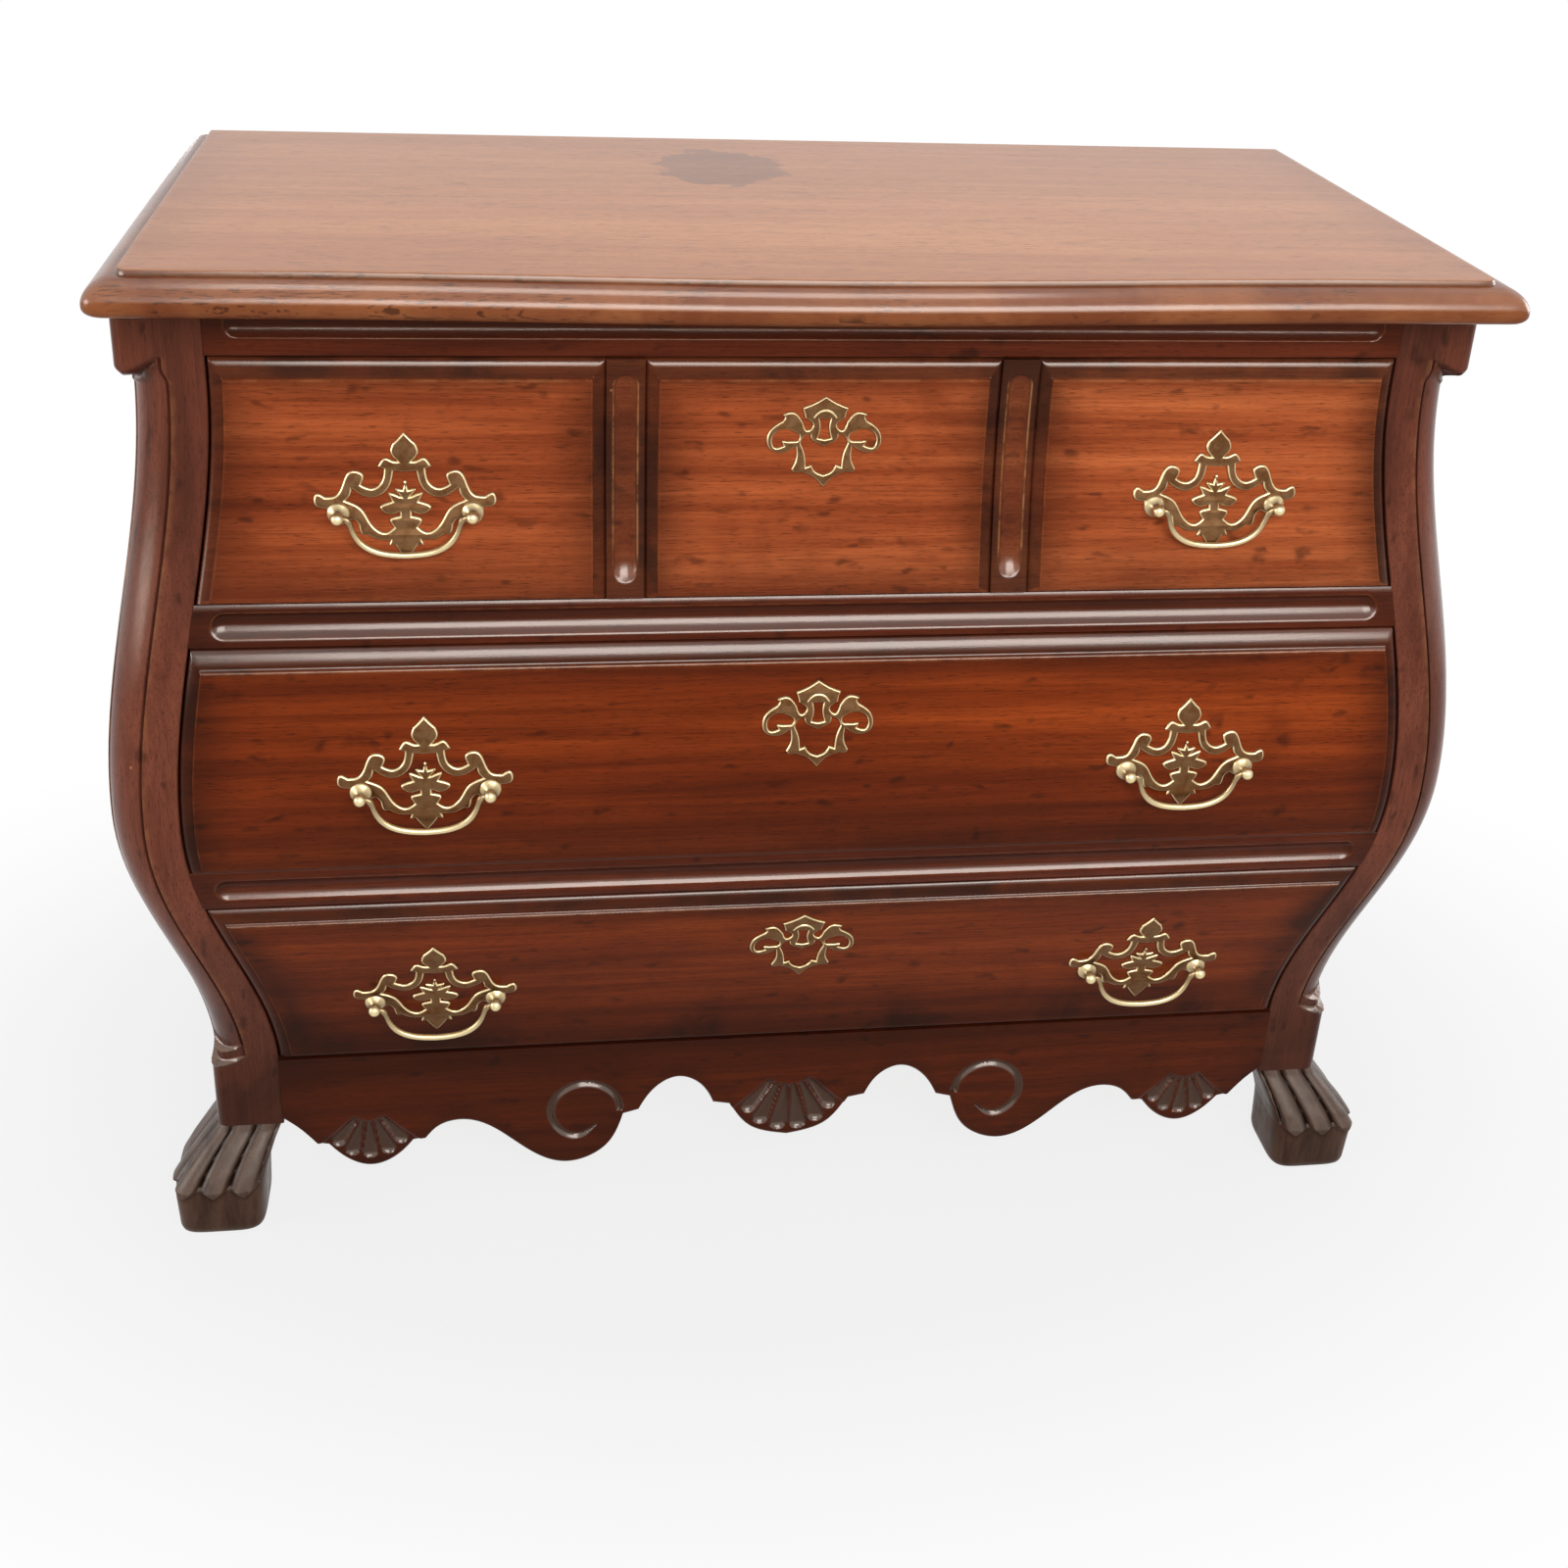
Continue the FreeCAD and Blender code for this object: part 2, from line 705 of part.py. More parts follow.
def build_rear_feet():
    """Rear feet: plain lofted blocks under the rear posts."""
    level = size("foot_height")
    half_width = size("rear_post_width") / 2
    half_depth = size("rear_post_depth") / 2
    centre = (half_width - outer_x(level), size("case_back") - half_depth)
    foot = centre[0] - size("rear_foot_splay")
    corner = size("leg_round") * 0.6
    sections = [rounded_section(*centre, half_width, half_depth, corner, level),
                rounded_section(foot, centre[1], half_width * 1.2, half_depth, corner, size("paw_level")),
                rounded_section(foot, centre[1], size("rear_pad_half_width"), half_depth - corner, corner, 0)]
    pair("rear_foot", feature("left_rear_foot", Part.makeLoft(sections, True, True)))


def both_sides(label, left):
    """The left piece and its mirror image, grouped in one node."""
    node(label, group(label, [left, mirror(label + "_right", left)]))


def build_drawer_supports(name):
    """What carries one drawer: runners with upright guides, a dust board and two stops."""
    half = f"{name}_box_half"
    floor = f"{name}_floor"
    length = "back_plane - frame_back - 2 * joint_gap"
    start = "frame_back + joint_gap"
    outer = f"-{half} - guide_gap - guide_width"
    ledge = board(name + "_ledge", "guide_gap + guide_width + runner_width", length, "runner_height", outer,
                  start, f"{floor} - runner_height")
    guide = board(name + "_guide", "guide_width", length, "guide_height", outer, start, floor)
    both_sides(name + "_runners", fuse(name + "_runner", [ledge, guide]))
    node(name + "_dust_board",
         board(name + "_dust_board", f"2 * ({half} - runner_width - joint_gap)", length, "dust_thickness",
               f"runner_width + joint_gap - {half}", start, f"{floor} - dust_drop - dust_thickness"))
    both_sides(name + "_drawer_stops",
               board(name + "_stop", "stop_length", "stop_depth", "stop_height",
                     "-stop_place - stop_length / 2", f"{name}_front_back + running_gap", floor))


def build_kickers():
    """Strips under the top that keep the top drawer from tipping."""
    both_sides("top_kickers",
               board("kicker", "kicker_width", "back_plane - frame_back - 2 * joint_gap", "kicker_height",
                     "-top_box_half", "frame_back + joint_gap", "case_top - kicker_height"))


def build_drawer_box(name):
    """Grooved sides, a bottom that slides into the grooves and a back that stands on the bottom."""
    half = f"{name}_box_half"
    floor = f"{name}_floor"
    start = f"{name}_front_back + joint_gap"
    depth = f"box_end - {name}_front_back - joint_gap"
    top = f"{name}_ceiling - box_top_gap"
    side = board(name + "_side_blank", "box_board", depth, f"{top} - {floor} - running_gap", f"-{half}",
                 start, f"{floor} + running_gap")
    groove = board(name + "_groove", "groove_depth", depth, "bottom_board + 2 * joint_gap",
                   f"box_board - groove_depth - {half}", start, f"{floor} + bottom_rise")
    left = cut(name + "_drawer_left_side", side, [groove])
    node(name + "_drawer_left_side", left)
    node(name + "_drawer_right_side", mirror(name + "_drawer_right_side", left))
    inside = f"({half} - box_board - joint_gap)"
    on_bottom = f"{floor} + bottom_rise + bottom_board + 2 * joint_gap"
    node(name + "_drawer_back",
         board(name + "_drawer_back", f"2 * {inside}", "box_board", f"{top} - ({on_bottom})", f"-{inside}",
               "box_end - box_board", on_bottom))
    grooved = f"({half} - box_board + groove_depth - joint_gap)"
    node(name + "_drawer_bottom",
         board(name + "_drawer_bottom", f"2 * {grooved}", depth, "bottom_board", f"-{grooved}", start,
               f"{floor} + bottom_rise + joint_gap"))


def softened(label, item, radius):
    """Rounds the front edges of a raised field."""
    doc.recompute()
    front = min(item.Shape.Faces, key=lambda face: face.CenterOfMass.y)
    edges = [index for index, edge in enumerate(item.Shape.Edges, 1)
             if any(edge.isSame(one) for one in front.Edges)]
    rounded = doc.addObject("Part::Fillet", label)
    rounded.Base = item
    rounded.Edges = [(index, radius, radius) for index in edges]
    return rounded


def raised_fields(name, low, high):
    """Raised fields of a drawer front: one across, or three beside the dividers on the top drawer."""
    back = size("lip_drop") + size("lip_round")
    edge = size("drawer_gap") + size("lip_side")
    spans = [(lambda level: edge - edge_x(level), lambda level: edge_x(level) - edge)]
    if name == "top":
        beside = size("divider_width") / 2 + size("lip_side")
        near = size("divider_place") - beside
        far = size("divider_place") + beside
        spans = [(spans[0][0], lambda level: -far), (lambda level: -near, lambda level: near),
                 (lambda level: far, spans[0][1])]
    fields = []
    for index, (left, right) in enumerate(spans):
        label = f"{name}_field_{index}"
        slab = feature(label + "_slab", swelled_slab(low, high, 0, back_shift=back))
        block = common(label, slab, feature(label + "_outline", swelled_strip(low, high, left, right)))
        fields.append(softened(label + "_round", block, size("lip_round")))
    return fields


def dividers(low, high):
    """Two fluted strips between the fields of the top drawer."""
    half = size("divider_width") / 2
    end = size("divider_end")
    pieces = []
    for side in (-1, 1):
        middle = side * size("divider_place")
        strip = swelled_strip(low + end, high - end, lambda level: middle - half, lambda level: middle + half)
        slab = swelled_slab(low + end, high - end, size("divider_drop"),
                            back_shift=size("lip_drop") + size("lip_round"))
        blank = common("divider_blank", feature("divider_slab", slab), feature("divider_outline", strip))
        pieces.append(cut("divider", blank, [divider_flute(middle, low, high)]))
    return pieces


def divider_flute(middle, low, high):
    """Cutter for the round-ended flute of a divider, with a floor that follows the swelled front."""
    half = size("divider_flute") / 2
    bottom = low + size("divider_flute_end") + half
    top = high - size("divider_flute_end") - half
    near = size("front_plane")
    corners = [Vector(middle + half, near, bottom), Vector(middle + half, near, top),
               Vector(middle - half, near, top), Vector(middle - half, near, bottom)]
    outline = Part.Face(Part.Wire([
        Part.makeLine(corners[0], corners[1]),
        Part.Arc(corners[1], Vector(middle, near, top + half), corners[2]).toShape(),
        Part.makeLine(corners[2], corners[3]),
        Part.Arc(corners[3], Vector(middle, near, bottom - half), corners[0]).toShape(),
    ]))
    drop = size("divider_drop")
    layer = swelled_slab(low, high, -drop, back_shift=drop + size("divider_flute_depth"))
    bar = outline.extrude(Vector(0, size("top_depth"), 0))
    return common("divider_flute", feature("flute_layer", layer), feature("flute_bar", bar))


def build_drawer_front(name):
    """Swelled front with a flat back, a lowered lip all round, raised fields and the pull holes."""
    low = size(f"{name}_floor") + size("drawer_gap")
    high = size(f"{name}_ceiling") - size("drawer_gap")
    slab = swelled_slab(low, high, size("lip_drop"), back=size(f"{name}_front_back"))
    blank = common(name + "_front_blank", feature(name + "_front_slab", slab),
                   feature(name + "_front_outline", within_opening(low, high, size("drawer_gap"))))
    pieces = [blank] + raised_fields(name, low + size("lip_bottom"), high - size("lip_top"))
    if name == "top":
        pieces += dividers(low, high)
    holes = [rod(name + "_pull_hole", "shank_radius + shank_gap", "top_depth", x, "front_plane",
                 f"{name}_pull_level", ALONG_Y) for x in pull_places(name)]
    node(name + "_drawer_front", cut(name + "_drawer_front", fuse(name + "_front_relief", pieces), holes))


def pull_places(name):
    """The four pull posts of a drawer, across the chest."""
    return [f"{side} * {name}_pull_place + {end} * post_spacing / 2" for side in (-1, 1) for end in (-1, 1)]


# Outlines of the brass, each a half from top to bottom, as smooth runs between its corners
PLATE_EDGE = [
    [(0, 63), (4.5, 58), (8.7, 54)],
    [(8.7, 54), (10.6, 47.4), (5.5, 40)],
    [(5.5, 40), (9.5, 40.8), (14, 42.8), (20.3, 35.8)],
    [(20.3, 35.8), (15.8, 34.1)],
    [(15.8, 34.1), (19.2, 22.4), (24.9, 19.3), (33.2, 22)],
    [(33.2, 22), (31.5, 29.8), (39.8, 32.9), (46.8, 23.7), (52.8, 13.7), (60.6, 12.6)],
    [(60.6, 12.6), (67, 15.1), (68.8, 7.1), (59.4, 3.6)],
    [(59.4, 3.6), (59, -4), (51, -9.5), (44, -7)],
    [(44, -7), (40, -5), (36, -9)],
    [(36, -9), (32.5, -17), (29.5, -16.5)],
    [(29.5, -16.5), (22, -20.5), (12, -21)],
    [(12, -21), (13, -25), (9, -24.5)],
    [(9, -24.5), (6, -29), (0, -36)],
]
PLATE_WINDOW = [
    [(0, 31.7), (8.5, 32.4)],
    [(8.5, 32.4), (13.2, 18.4), (25.5, 11.8), (40.3, 18.7)],
    [(40.3, 18.7), (41.6, 13.7), (45, 9.8)],
    [(45, 9.8), (33.8, 3.8), (24, -11), (15.5, -15), (9.4, -11.4)],
    [(9.4, -11.4), (12.2, -5.4), (4.6, -2.4)],
    [(4.6, -2.4), (4.7, 0.6)],
    [(4.7, 0.6), (14, -1), (19.5, 3.9), (10.4, 9)],
    [(10.4, 9), (13.1, 15.4), (3.5, 12.5)],
    [(3.5, 12.5), (8, 18.8), (2.2, 18)],
    [(2.2, 18), (0, 25.4)],
]
ESCUTCHEON_EDGE = [
    [(0, 36), (10, 30), (18.6, 26.6)],
    [(18.6, 26.6), (17, 22.5), (16, 18)],
    [(16, 18), (9.8, 11.5), (13.5, 8.3), (17.5, 15)],
    [(17.5, 15), (25.5, 23), (34, 21.2)],
    [(34, 21.2), (32, 19), (33.7, 16)],
    [(33.7, 16), (44.2, 6.9), (43.9, -6.2), (32.5, -9.9), (22.7, -4.6)],
    [(22.7, -4.6), (22.5, -16), (25.8, -23)],
    [(25.8, -23), (24, -25.6), (18.5, -25.5)],
    [(18.5, -25.5), (8, -29.6), (0, -37.8)],
]
SCROLL_WINDOW = [
    [(20.4, 4.8), (31.6, 9.2), (40.8, 3.3), (39.3, -5.4), (32.3, -4.2)],
    [(32.3, -4.2), (33.8, -0.5), (29, -0.6)],
    [(29, -0.6), (22, -0.4)],
    [(22, -0.4), (20.2, 1.2), (20.4, 4.8)],
]
SHIELD_WINDOW = [
    [(0, -5), (6, -2), (11.3, 3), (10.5, 7)],
    [(10.5, 7), (16, 4.5), (18.6, -2.3)],
    [(18.6, -2.3), (15.3, -11), (14, -21.2)],
    [(14, -21.2), (9.7, -19.5)],
    [(9.7, -19.5), (7.2, -24), (0, -27.7)],
]
KEYHOLE = [[(0, 17.5), (4.3, 17.5)], [(4.3, 17.5), (3.2, 11.5), (5, 2)], [(5, 2), (0, 1)]]


def mirrored_runs(half):
    """A half outline from top to bottom, closed by its mirror image."""
    other = [[(-across, up) for across, up in run[::-1]] for run in half[::-1]]
    return half + other


def ornament(runs, centre_x, level):
    """A flat outline, drawn across and up from a centre, as a bar through the front of the chest."""
    near = size("front_plane") - size("top_depth") / 4
    points = [[Vector(centre_x + across, near, level + up) for across, up in run] for run in runs]
    return face_of(points).extrude(Vector(0, size("top_depth"), 0))


def pierced_plate(label, edge, windows, centre_x, level, holes):
    """A pierced brass plate that lies on the swelled front."""
    heights = [up for run in edge for across, up in run]
    skin = swelled_slab(level + min(heights) - 1, level + max(heights) + 1, -size("plate_thickness"),
                        back_shift=-size("plate_gap"))
    plate = common(label + "_blank", feature(label + "_skin", skin),
                   feature(label + "_bar", ornament(mirrored_runs(edge), centre_x, level)))
    cutters = [feature(label + "_window", ornament(runs, centre_x, level)) for runs in windows]
    return cut(label, plate, cutters + holes)


def build_brass(name):
    """The brass of one drawer: escutcheon, pull plates, pull posts with nuts."""
    keyhole = size(f"{name}_keyhole_level")
    scrolls = [[[(side * across, up) for across, up in run] for run in SCROLL_WINDOW] for side in (-1, 1)]
    windows = scrolls + [mirrored_runs(SHIELD_WINDOW), mirrored_runs(KEYHOLE)]
    label = name + "_escutcheon"
    node(label, pierced_plate(label, ESCUTCHEON_EDGE, windows, 0, keyhole, []))
    level = size(f"{name}_pull_level")
    plates = []
    for side in (-1, 1):
        holes = [rod("plate_hole", "shank_radius + shank_gap", "top_depth", x, "front_plane - top_depth / 4",
                     f"{name}_pull_level", ALONG_Y) for x in pull_places(name)[side + 1:side + 3]]
        plates.append(pierced_plate(name + "_plate", PLATE_EDGE, [mirrored_runs(PLATE_WINDOW)],
                                    side * size(f"{name}_pull_place"), level, holes))
    node(name + "_pull_plates", group(name + "_pull_plates", plates))
    build_pull_posts(name)


def post_plane(name):
    """Formula for the depth of a drawer's pull axis."""
    setback = swell_text(f"{name}_pull_level", "neck_setback", "belly_setback", "ankle_setback")
    return f"(front_plane + {setback} - plate_thickness - post_reach)"


def post_flange(label, name, x):
    """Flared flange of a pull post, cut to seat on the sloping face of its plate."""
    flare = doc.addObject("Part::Cone", label + "_flare")
    tie(flare, "Radius1", "neck_radius")
    tie(flare, "Radius2", "flange_radius")
    tie(flare, "Height", "2 * flange_height")
    flare.Placement = Placement(Vector(), ALONG_Y)
    place(flare, x, f"{post_plane(name)} + post_reach - flange_height", f"{name}_pull_level")
    level = size(f"{name}_pull_level")
    reach = 2 * size("flange_radius")
    plate = -size("plate_thickness")
    layer = swelled_slab(level - reach, level + reach, plate - size("post_reach"),
                         back_shift=plate - size("plate_gap"))
    return common(label + "_flange", flare, feature(label + "_layer", layer))


def build_pull_posts(name):
    """Ball-headed posts through the plate and the front, each with an eye for the bail and a nut behind."""
    axis = post_plane(name)
    level = f"{name}_pull_level"
    back = f"{name}_front_back"
    pieces = []
    for index, x in enumerate(pull_places(name)):
        inward = 1 if index % 2 == 0 else -1
        label = f"{name}_pull_post_{index}"
        knob = ball(label + "_knob", "knob_radius", x, axis, level)
        neck = rod(label + "_neck", "neck_radius", "post_reach - neck_lift", x, axis, level, ALONG_Y)
        flange = post_flange(label, name, x)
        shank = rod(label + "_shank", "shank_radius", f"{back} + shank_end - {axis}", x, axis, level, ALONG_Y)
        eye_start = f"{x} - pin_depth - pin_gap" if inward > 0 else f"{x} - knob_radius"
        eye = rod(label + "_eye", "pin_radius + pin_gap", "knob_radius + pin_depth + pin_gap", eye_start,
                  axis, level, ALONG_X)
        pieces.append(cut(label, fuse(label + "_turning", [knob, neck, flange, shank]), [eye]))
        prism = doc.addObject("Part::Prism", label + "_nut_blank")
        prism.Polygon = 6
        tie(prism, "Circumradius", "nut_radius")
        tie(prism, "Height", "nut_thickness")
        prism.Placement = Placement(Vector(), ALONG_Y)
        place(prism, x, f"{back} + joint_gap", level)
        bore = rod(label + "_nut_bore", "shank_radius + joint_gap", "3 * nut_thickness", x,
                   f"{back} - nut_thickness", level, ALONG_Y)
        pieces.append(cut(label + "_nut", prism, [bore]))
    node(name + "_pull_posts", group(name + "_pull_posts", pieces))


def build_bail(name, side):
    """A hanging bail: one round arc between two pins that turn in the posts' eyes."""
    side_name = "left" if side < 0 else "right"
    label = f"{name}_{side_name}_bail"
    axis = post_plane(name)
    level = f"{name}_pull_level"
    middle = f"{side} * {name}_pull_place"
    shoulder = "(post_spacing / 2 - knob_radius - bail_radius - pin_shoulder)"
    radius = f"(({shoulder} * {shoulder} + bail_drop * bail_drop) / (2 * bail_drop))"
    lift = f"({radius} - bail_drop)"
    arc = doc.addObject("Part::Torus", label + "_arc")
    tie(arc, "Radius1", radius)
    tie(arc, "Radius2", "bail_radius")
    half = size("post_spacing") / 2 - size("knob_radius") - size("bail_radius") - size("pin_shoulder")
    drop = size("bail_drop")
    rise = math.degrees(math.atan2((half * half + drop * drop) / (2 * drop) - drop, half))
    arc.Angle3 = 180 - 2 * rise
    arc.Placement = Placement(Vector(), Rotation(Vector(1, 0, 0), 90) * Rotation(Vector(0, 0, 1), 180 + rise))
    place(arc, middle, axis, f"{level} + {lift}")
    pieces = [arc]
    for end in (-1, 1):
        pieces.append(ball(f"{label}_knuckle", "bail_radius", f"{middle} + {end} * {shoulder}", axis, level))
        length = "(pin_depth + knob_radius + bail_radius + pin_shoulder)"
        start = f"{middle} + {shoulder}" if end > 0 else f"{middle} - {shoulder} - {length}"
        pieces.append(rod(f"{label}_pin", "pin_radius", length, start, axis, level, ALONG_X))
    node(label, fuse(label, pieces))


def build_chest():
    build_top()
    build_front_posts()
    build_sides()
    build_rails()
    build_apron()
    build_front_feet()
    build_rear_feet()
    build_kickers()
    for name in DRAWERS:
        build_drawer_supports(name)
        build_drawer_box(name)
        build_drawer_front(name)
        build_brass(name)
        for side in (-1, 1):
            build_bail(name, side)


def write_nodes():
    """Recomputes, checks every object and sub-part, then writes one file per sub-part."""
    doc.recompute()
    broken = [item.Name for item in doc.Objects if "Invalid" in item.State or "Error" in item.State]
    if broken:
        raise RuntimeError("these objects failed: " + ", ".join(broken))
    for label, item in nodes.items():
        if item.Shape.isNull() or not item.Shape.isValid() or not item.Shape.Solids:
            raise RuntimeError(label + " has no valid solid")
    os.makedirs("parts", exist_ok=True)
    for label, item in nodes.items():
        item.Shape.exportStep(f"parts/{label}.step")


build_chest()
write_nodes()
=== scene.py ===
import bmesh
import bpy
import json
import math
import numpy as np
from mathutils import Matrix, Vector
from mathutils.geometry import tessellate_polygon


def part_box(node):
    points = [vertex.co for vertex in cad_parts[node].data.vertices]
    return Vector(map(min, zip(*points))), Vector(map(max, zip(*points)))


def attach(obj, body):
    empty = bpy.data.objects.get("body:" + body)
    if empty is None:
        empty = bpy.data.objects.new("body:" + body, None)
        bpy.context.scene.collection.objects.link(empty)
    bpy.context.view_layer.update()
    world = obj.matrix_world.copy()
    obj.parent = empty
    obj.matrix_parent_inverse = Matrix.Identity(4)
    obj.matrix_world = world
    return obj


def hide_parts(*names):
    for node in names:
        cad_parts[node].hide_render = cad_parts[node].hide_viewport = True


# The finish of a bombe chest: glazed mahogany, carved posts, apron and paw feet, pierced brass pulls.
# Shapes are worked out in millimetres, with +Z up and the front towards -Y, and stored in metres.
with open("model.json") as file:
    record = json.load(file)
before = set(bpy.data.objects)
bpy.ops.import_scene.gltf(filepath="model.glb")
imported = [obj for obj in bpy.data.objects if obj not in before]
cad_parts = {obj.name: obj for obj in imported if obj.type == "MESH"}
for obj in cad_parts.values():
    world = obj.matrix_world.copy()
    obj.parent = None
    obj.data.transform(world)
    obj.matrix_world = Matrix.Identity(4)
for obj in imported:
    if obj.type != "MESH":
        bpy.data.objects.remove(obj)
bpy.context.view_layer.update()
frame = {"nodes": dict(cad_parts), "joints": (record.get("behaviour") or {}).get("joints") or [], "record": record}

MM = 0.001
DRAWERS = ("top", "middle", "bottom")
SIDES = ("left", "right")


def node_box(node):
    """Lowest and highest corner of a solid of the frame, in millimetres."""
    low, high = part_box(node)
    return np.array(low) / MM, np.array(high) / MM


# Swell of the case: levels, half widths of the openings and depths behind the front edge of the top
FRONT_PLANE = node_box("top_board")[0][1]
NECK_LEVEL, BELLY_LEVEL, ANKLE_LEVEL = 785, 428, 155
NECK_HALF, BELLY_HALF, ANKLE_HALF = 469, 508.5, 452
NECK_SETBACK, BELLY_SETBACK, ANKLE_SETBACK = 77, 20, 57
FRAME_DROP = 5
FRAME_BACK = node_box("upper_rail")[1][1]


def swell(level, neck, belly, ankle):
    """Raised cosine of the height, from the belly up to the neck and down to the ankle."""
    above = np.clip((level - BELLY_LEVEL) / (NECK_LEVEL - BELLY_LEVEL), 0, 1)
    below = np.clip((BELLY_LEVEL - level) / (BELLY_LEVEL - ANKLE_LEVEL), 0, 1)
    rise = (neck - belly) * (1 - np.cos(np.pi * above)) / 2
    return belly + rise + (ankle - belly) * (1 - np.cos(np.pi * below)) / 2


def face_y(level):
    """Depth of the swelled front at a level."""
    return FRONT_PLANE + swell(np.asarray(level, float), NECK_SETBACK, BELLY_SETBACK, ANKLE_SETBACK)


def edge_x(level):
    """Half width of the drawer openings at a level."""
    return swell(np.asarray(level, float), NECK_HALF, BELLY_HALF, ANKLE_HALF)


def ease(value):
    """Smooth step: 0 below 0, 1 above 1, a cubic between."""
    value = np.clip(value, 0, 1)
    return value * value * (3 - 2 * value)


def bump(value, centre, width):
    """A bell curve of height 1 about a centre."""
    return np.exp(-((value - centre) / width) ** 2)


def joined(*runs):
    """Sorted stations from several runs, without repeats."""
    return np.unique(np.round(np.concatenate([np.asarray(run, float) for run in runs]), 4))


def weave(rows, columns, wrap):
    """Quads between neighbours of a grid stored row by row; wrap joins the last column to the first."""
    across = np.arange(columns if wrap else columns - 1)
    start = np.arange(rows - 1)[:, None] * columns
    one = (start + across).ravel()
    other = (start + (across + 1) % columns).ravel()
    return np.stack([one, other, other + columns, one + columns], axis=1)


def skin(rows, columns):
    """Faces over a stack of closed loops: quads between the loops and a flat face over each end."""
    ring = np.arange(columns)
    return [weave(rows, columns, True), ring[::-1][None, :], (ring + (rows - 1) * columns)[None, :]]


class Piece:
    """Surfaces of one mesh: points in millimetres, faces, and a shade of three values for each point."""

    def __init__(self):
        self.points, self.shades, self.faces = [], [], []

    def add(self, points, faces, shade, flip=False):
        """Adds points, blocks of faces with equal numbers of corners, and a shade for each point."""
        points = np.asarray(points, float).reshape(-1, 3)
        start = sum(len(one) for one in self.points)
        self.points.append(points)
        self.shades.append(np.asarray(shade, float).reshape(-1, 3))
        for block in faces:
            block = np.asarray(block) + start
            self.faces.append(block[:, ::-1] if flip else block)
        return self

    def mirrored(self):
        """The same piece on the other side of the chest."""
        other = Piece()
        other.points = [one * (-1, 1, 1) for one in self.points]
        other.shades = list(self.shades)
        other.faces = [block[:, ::-1] for block in self.faces]
        return other

    def make(self, name, body, finish, *nodes, sharp=34):
        """Puts the arrays into a mesh object that rides on a body and stands for the named solids."""
        mesh = bpy.data.meshes.new(name)
        points = np.concatenate(self.points) * MM
        corners = np.concatenate([block.ravel() for block in self.faces])
        counts = np.concatenate([np.full(len(block), block.shape[1]) for block in self.faces])
        mesh.vertices.add(len(points))
        mesh.vertices.foreach_set("co", points.ravel())
        mesh.loops.add(len(corners))
        mesh.loops.foreach_set("vertex_index", corners.astype(np.int32))
        mesh.polygons.add(len(counts))
        mesh.polygons.foreach_set("loop_start", (np.cumsum(counts) - counts).astype(np.int32))
        mesh.update(calc_edges=True)
        shells = bmesh.new()
        shells.from_mesh(mesh)
        bmesh.ops.recalc_face_normals(shells, faces=shells.faces)
        shells.to_mesh(mesh)
        shells.free()
        mesh.polygons.foreach_set("use_smooth", np.ones(len(counts), bool))
        mesh.set_sharp_from_angle(angle=math.radians(sharp))
        shade = mesh.attributes.new("shade", "FLOAT_VECTOR", "POINT")
        shade.data.foreach_set("vector", np.concatenate(self.shades).ravel())
        mesh.materials.append(FINISHES[finish])
        piece = bpy.data.objects.new(name, mesh)
        bpy.context.scene.collection.objects.link(piece)
        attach(piece, body)
        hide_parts(*nodes)


def backed(x, y, level, back, shade):
    """A piece of closed horizontal sections: at each level a worked front line joined to a flat back."""
    rows = len(level)
    flat = np.full((rows, 1), back)
    loops = np.stack([np.hstack([x, x[:, -1:], x[:, :1]]), np.hstack([y, flat, flat]),
                      np.broadcast_to(level, (rows, x.shape[1] + 2))], axis=2)
    shade = np.concatenate([shade, np.zeros((rows, 2, 3))], axis=1)
    return Piece().add(loops, skin(rows, loops.shape[1]), shade)


# Materials


def colour(red, green, blue):
    """A colour of 0 to 255 per channel as linear light."""
    value = np.array([red, green, blue]) / 255
    linear = np.where(value <= 0.04045, value / 12.92, ((value + 0.055) / 1.055) ** 2.4)
    return (*linear, 1.0)


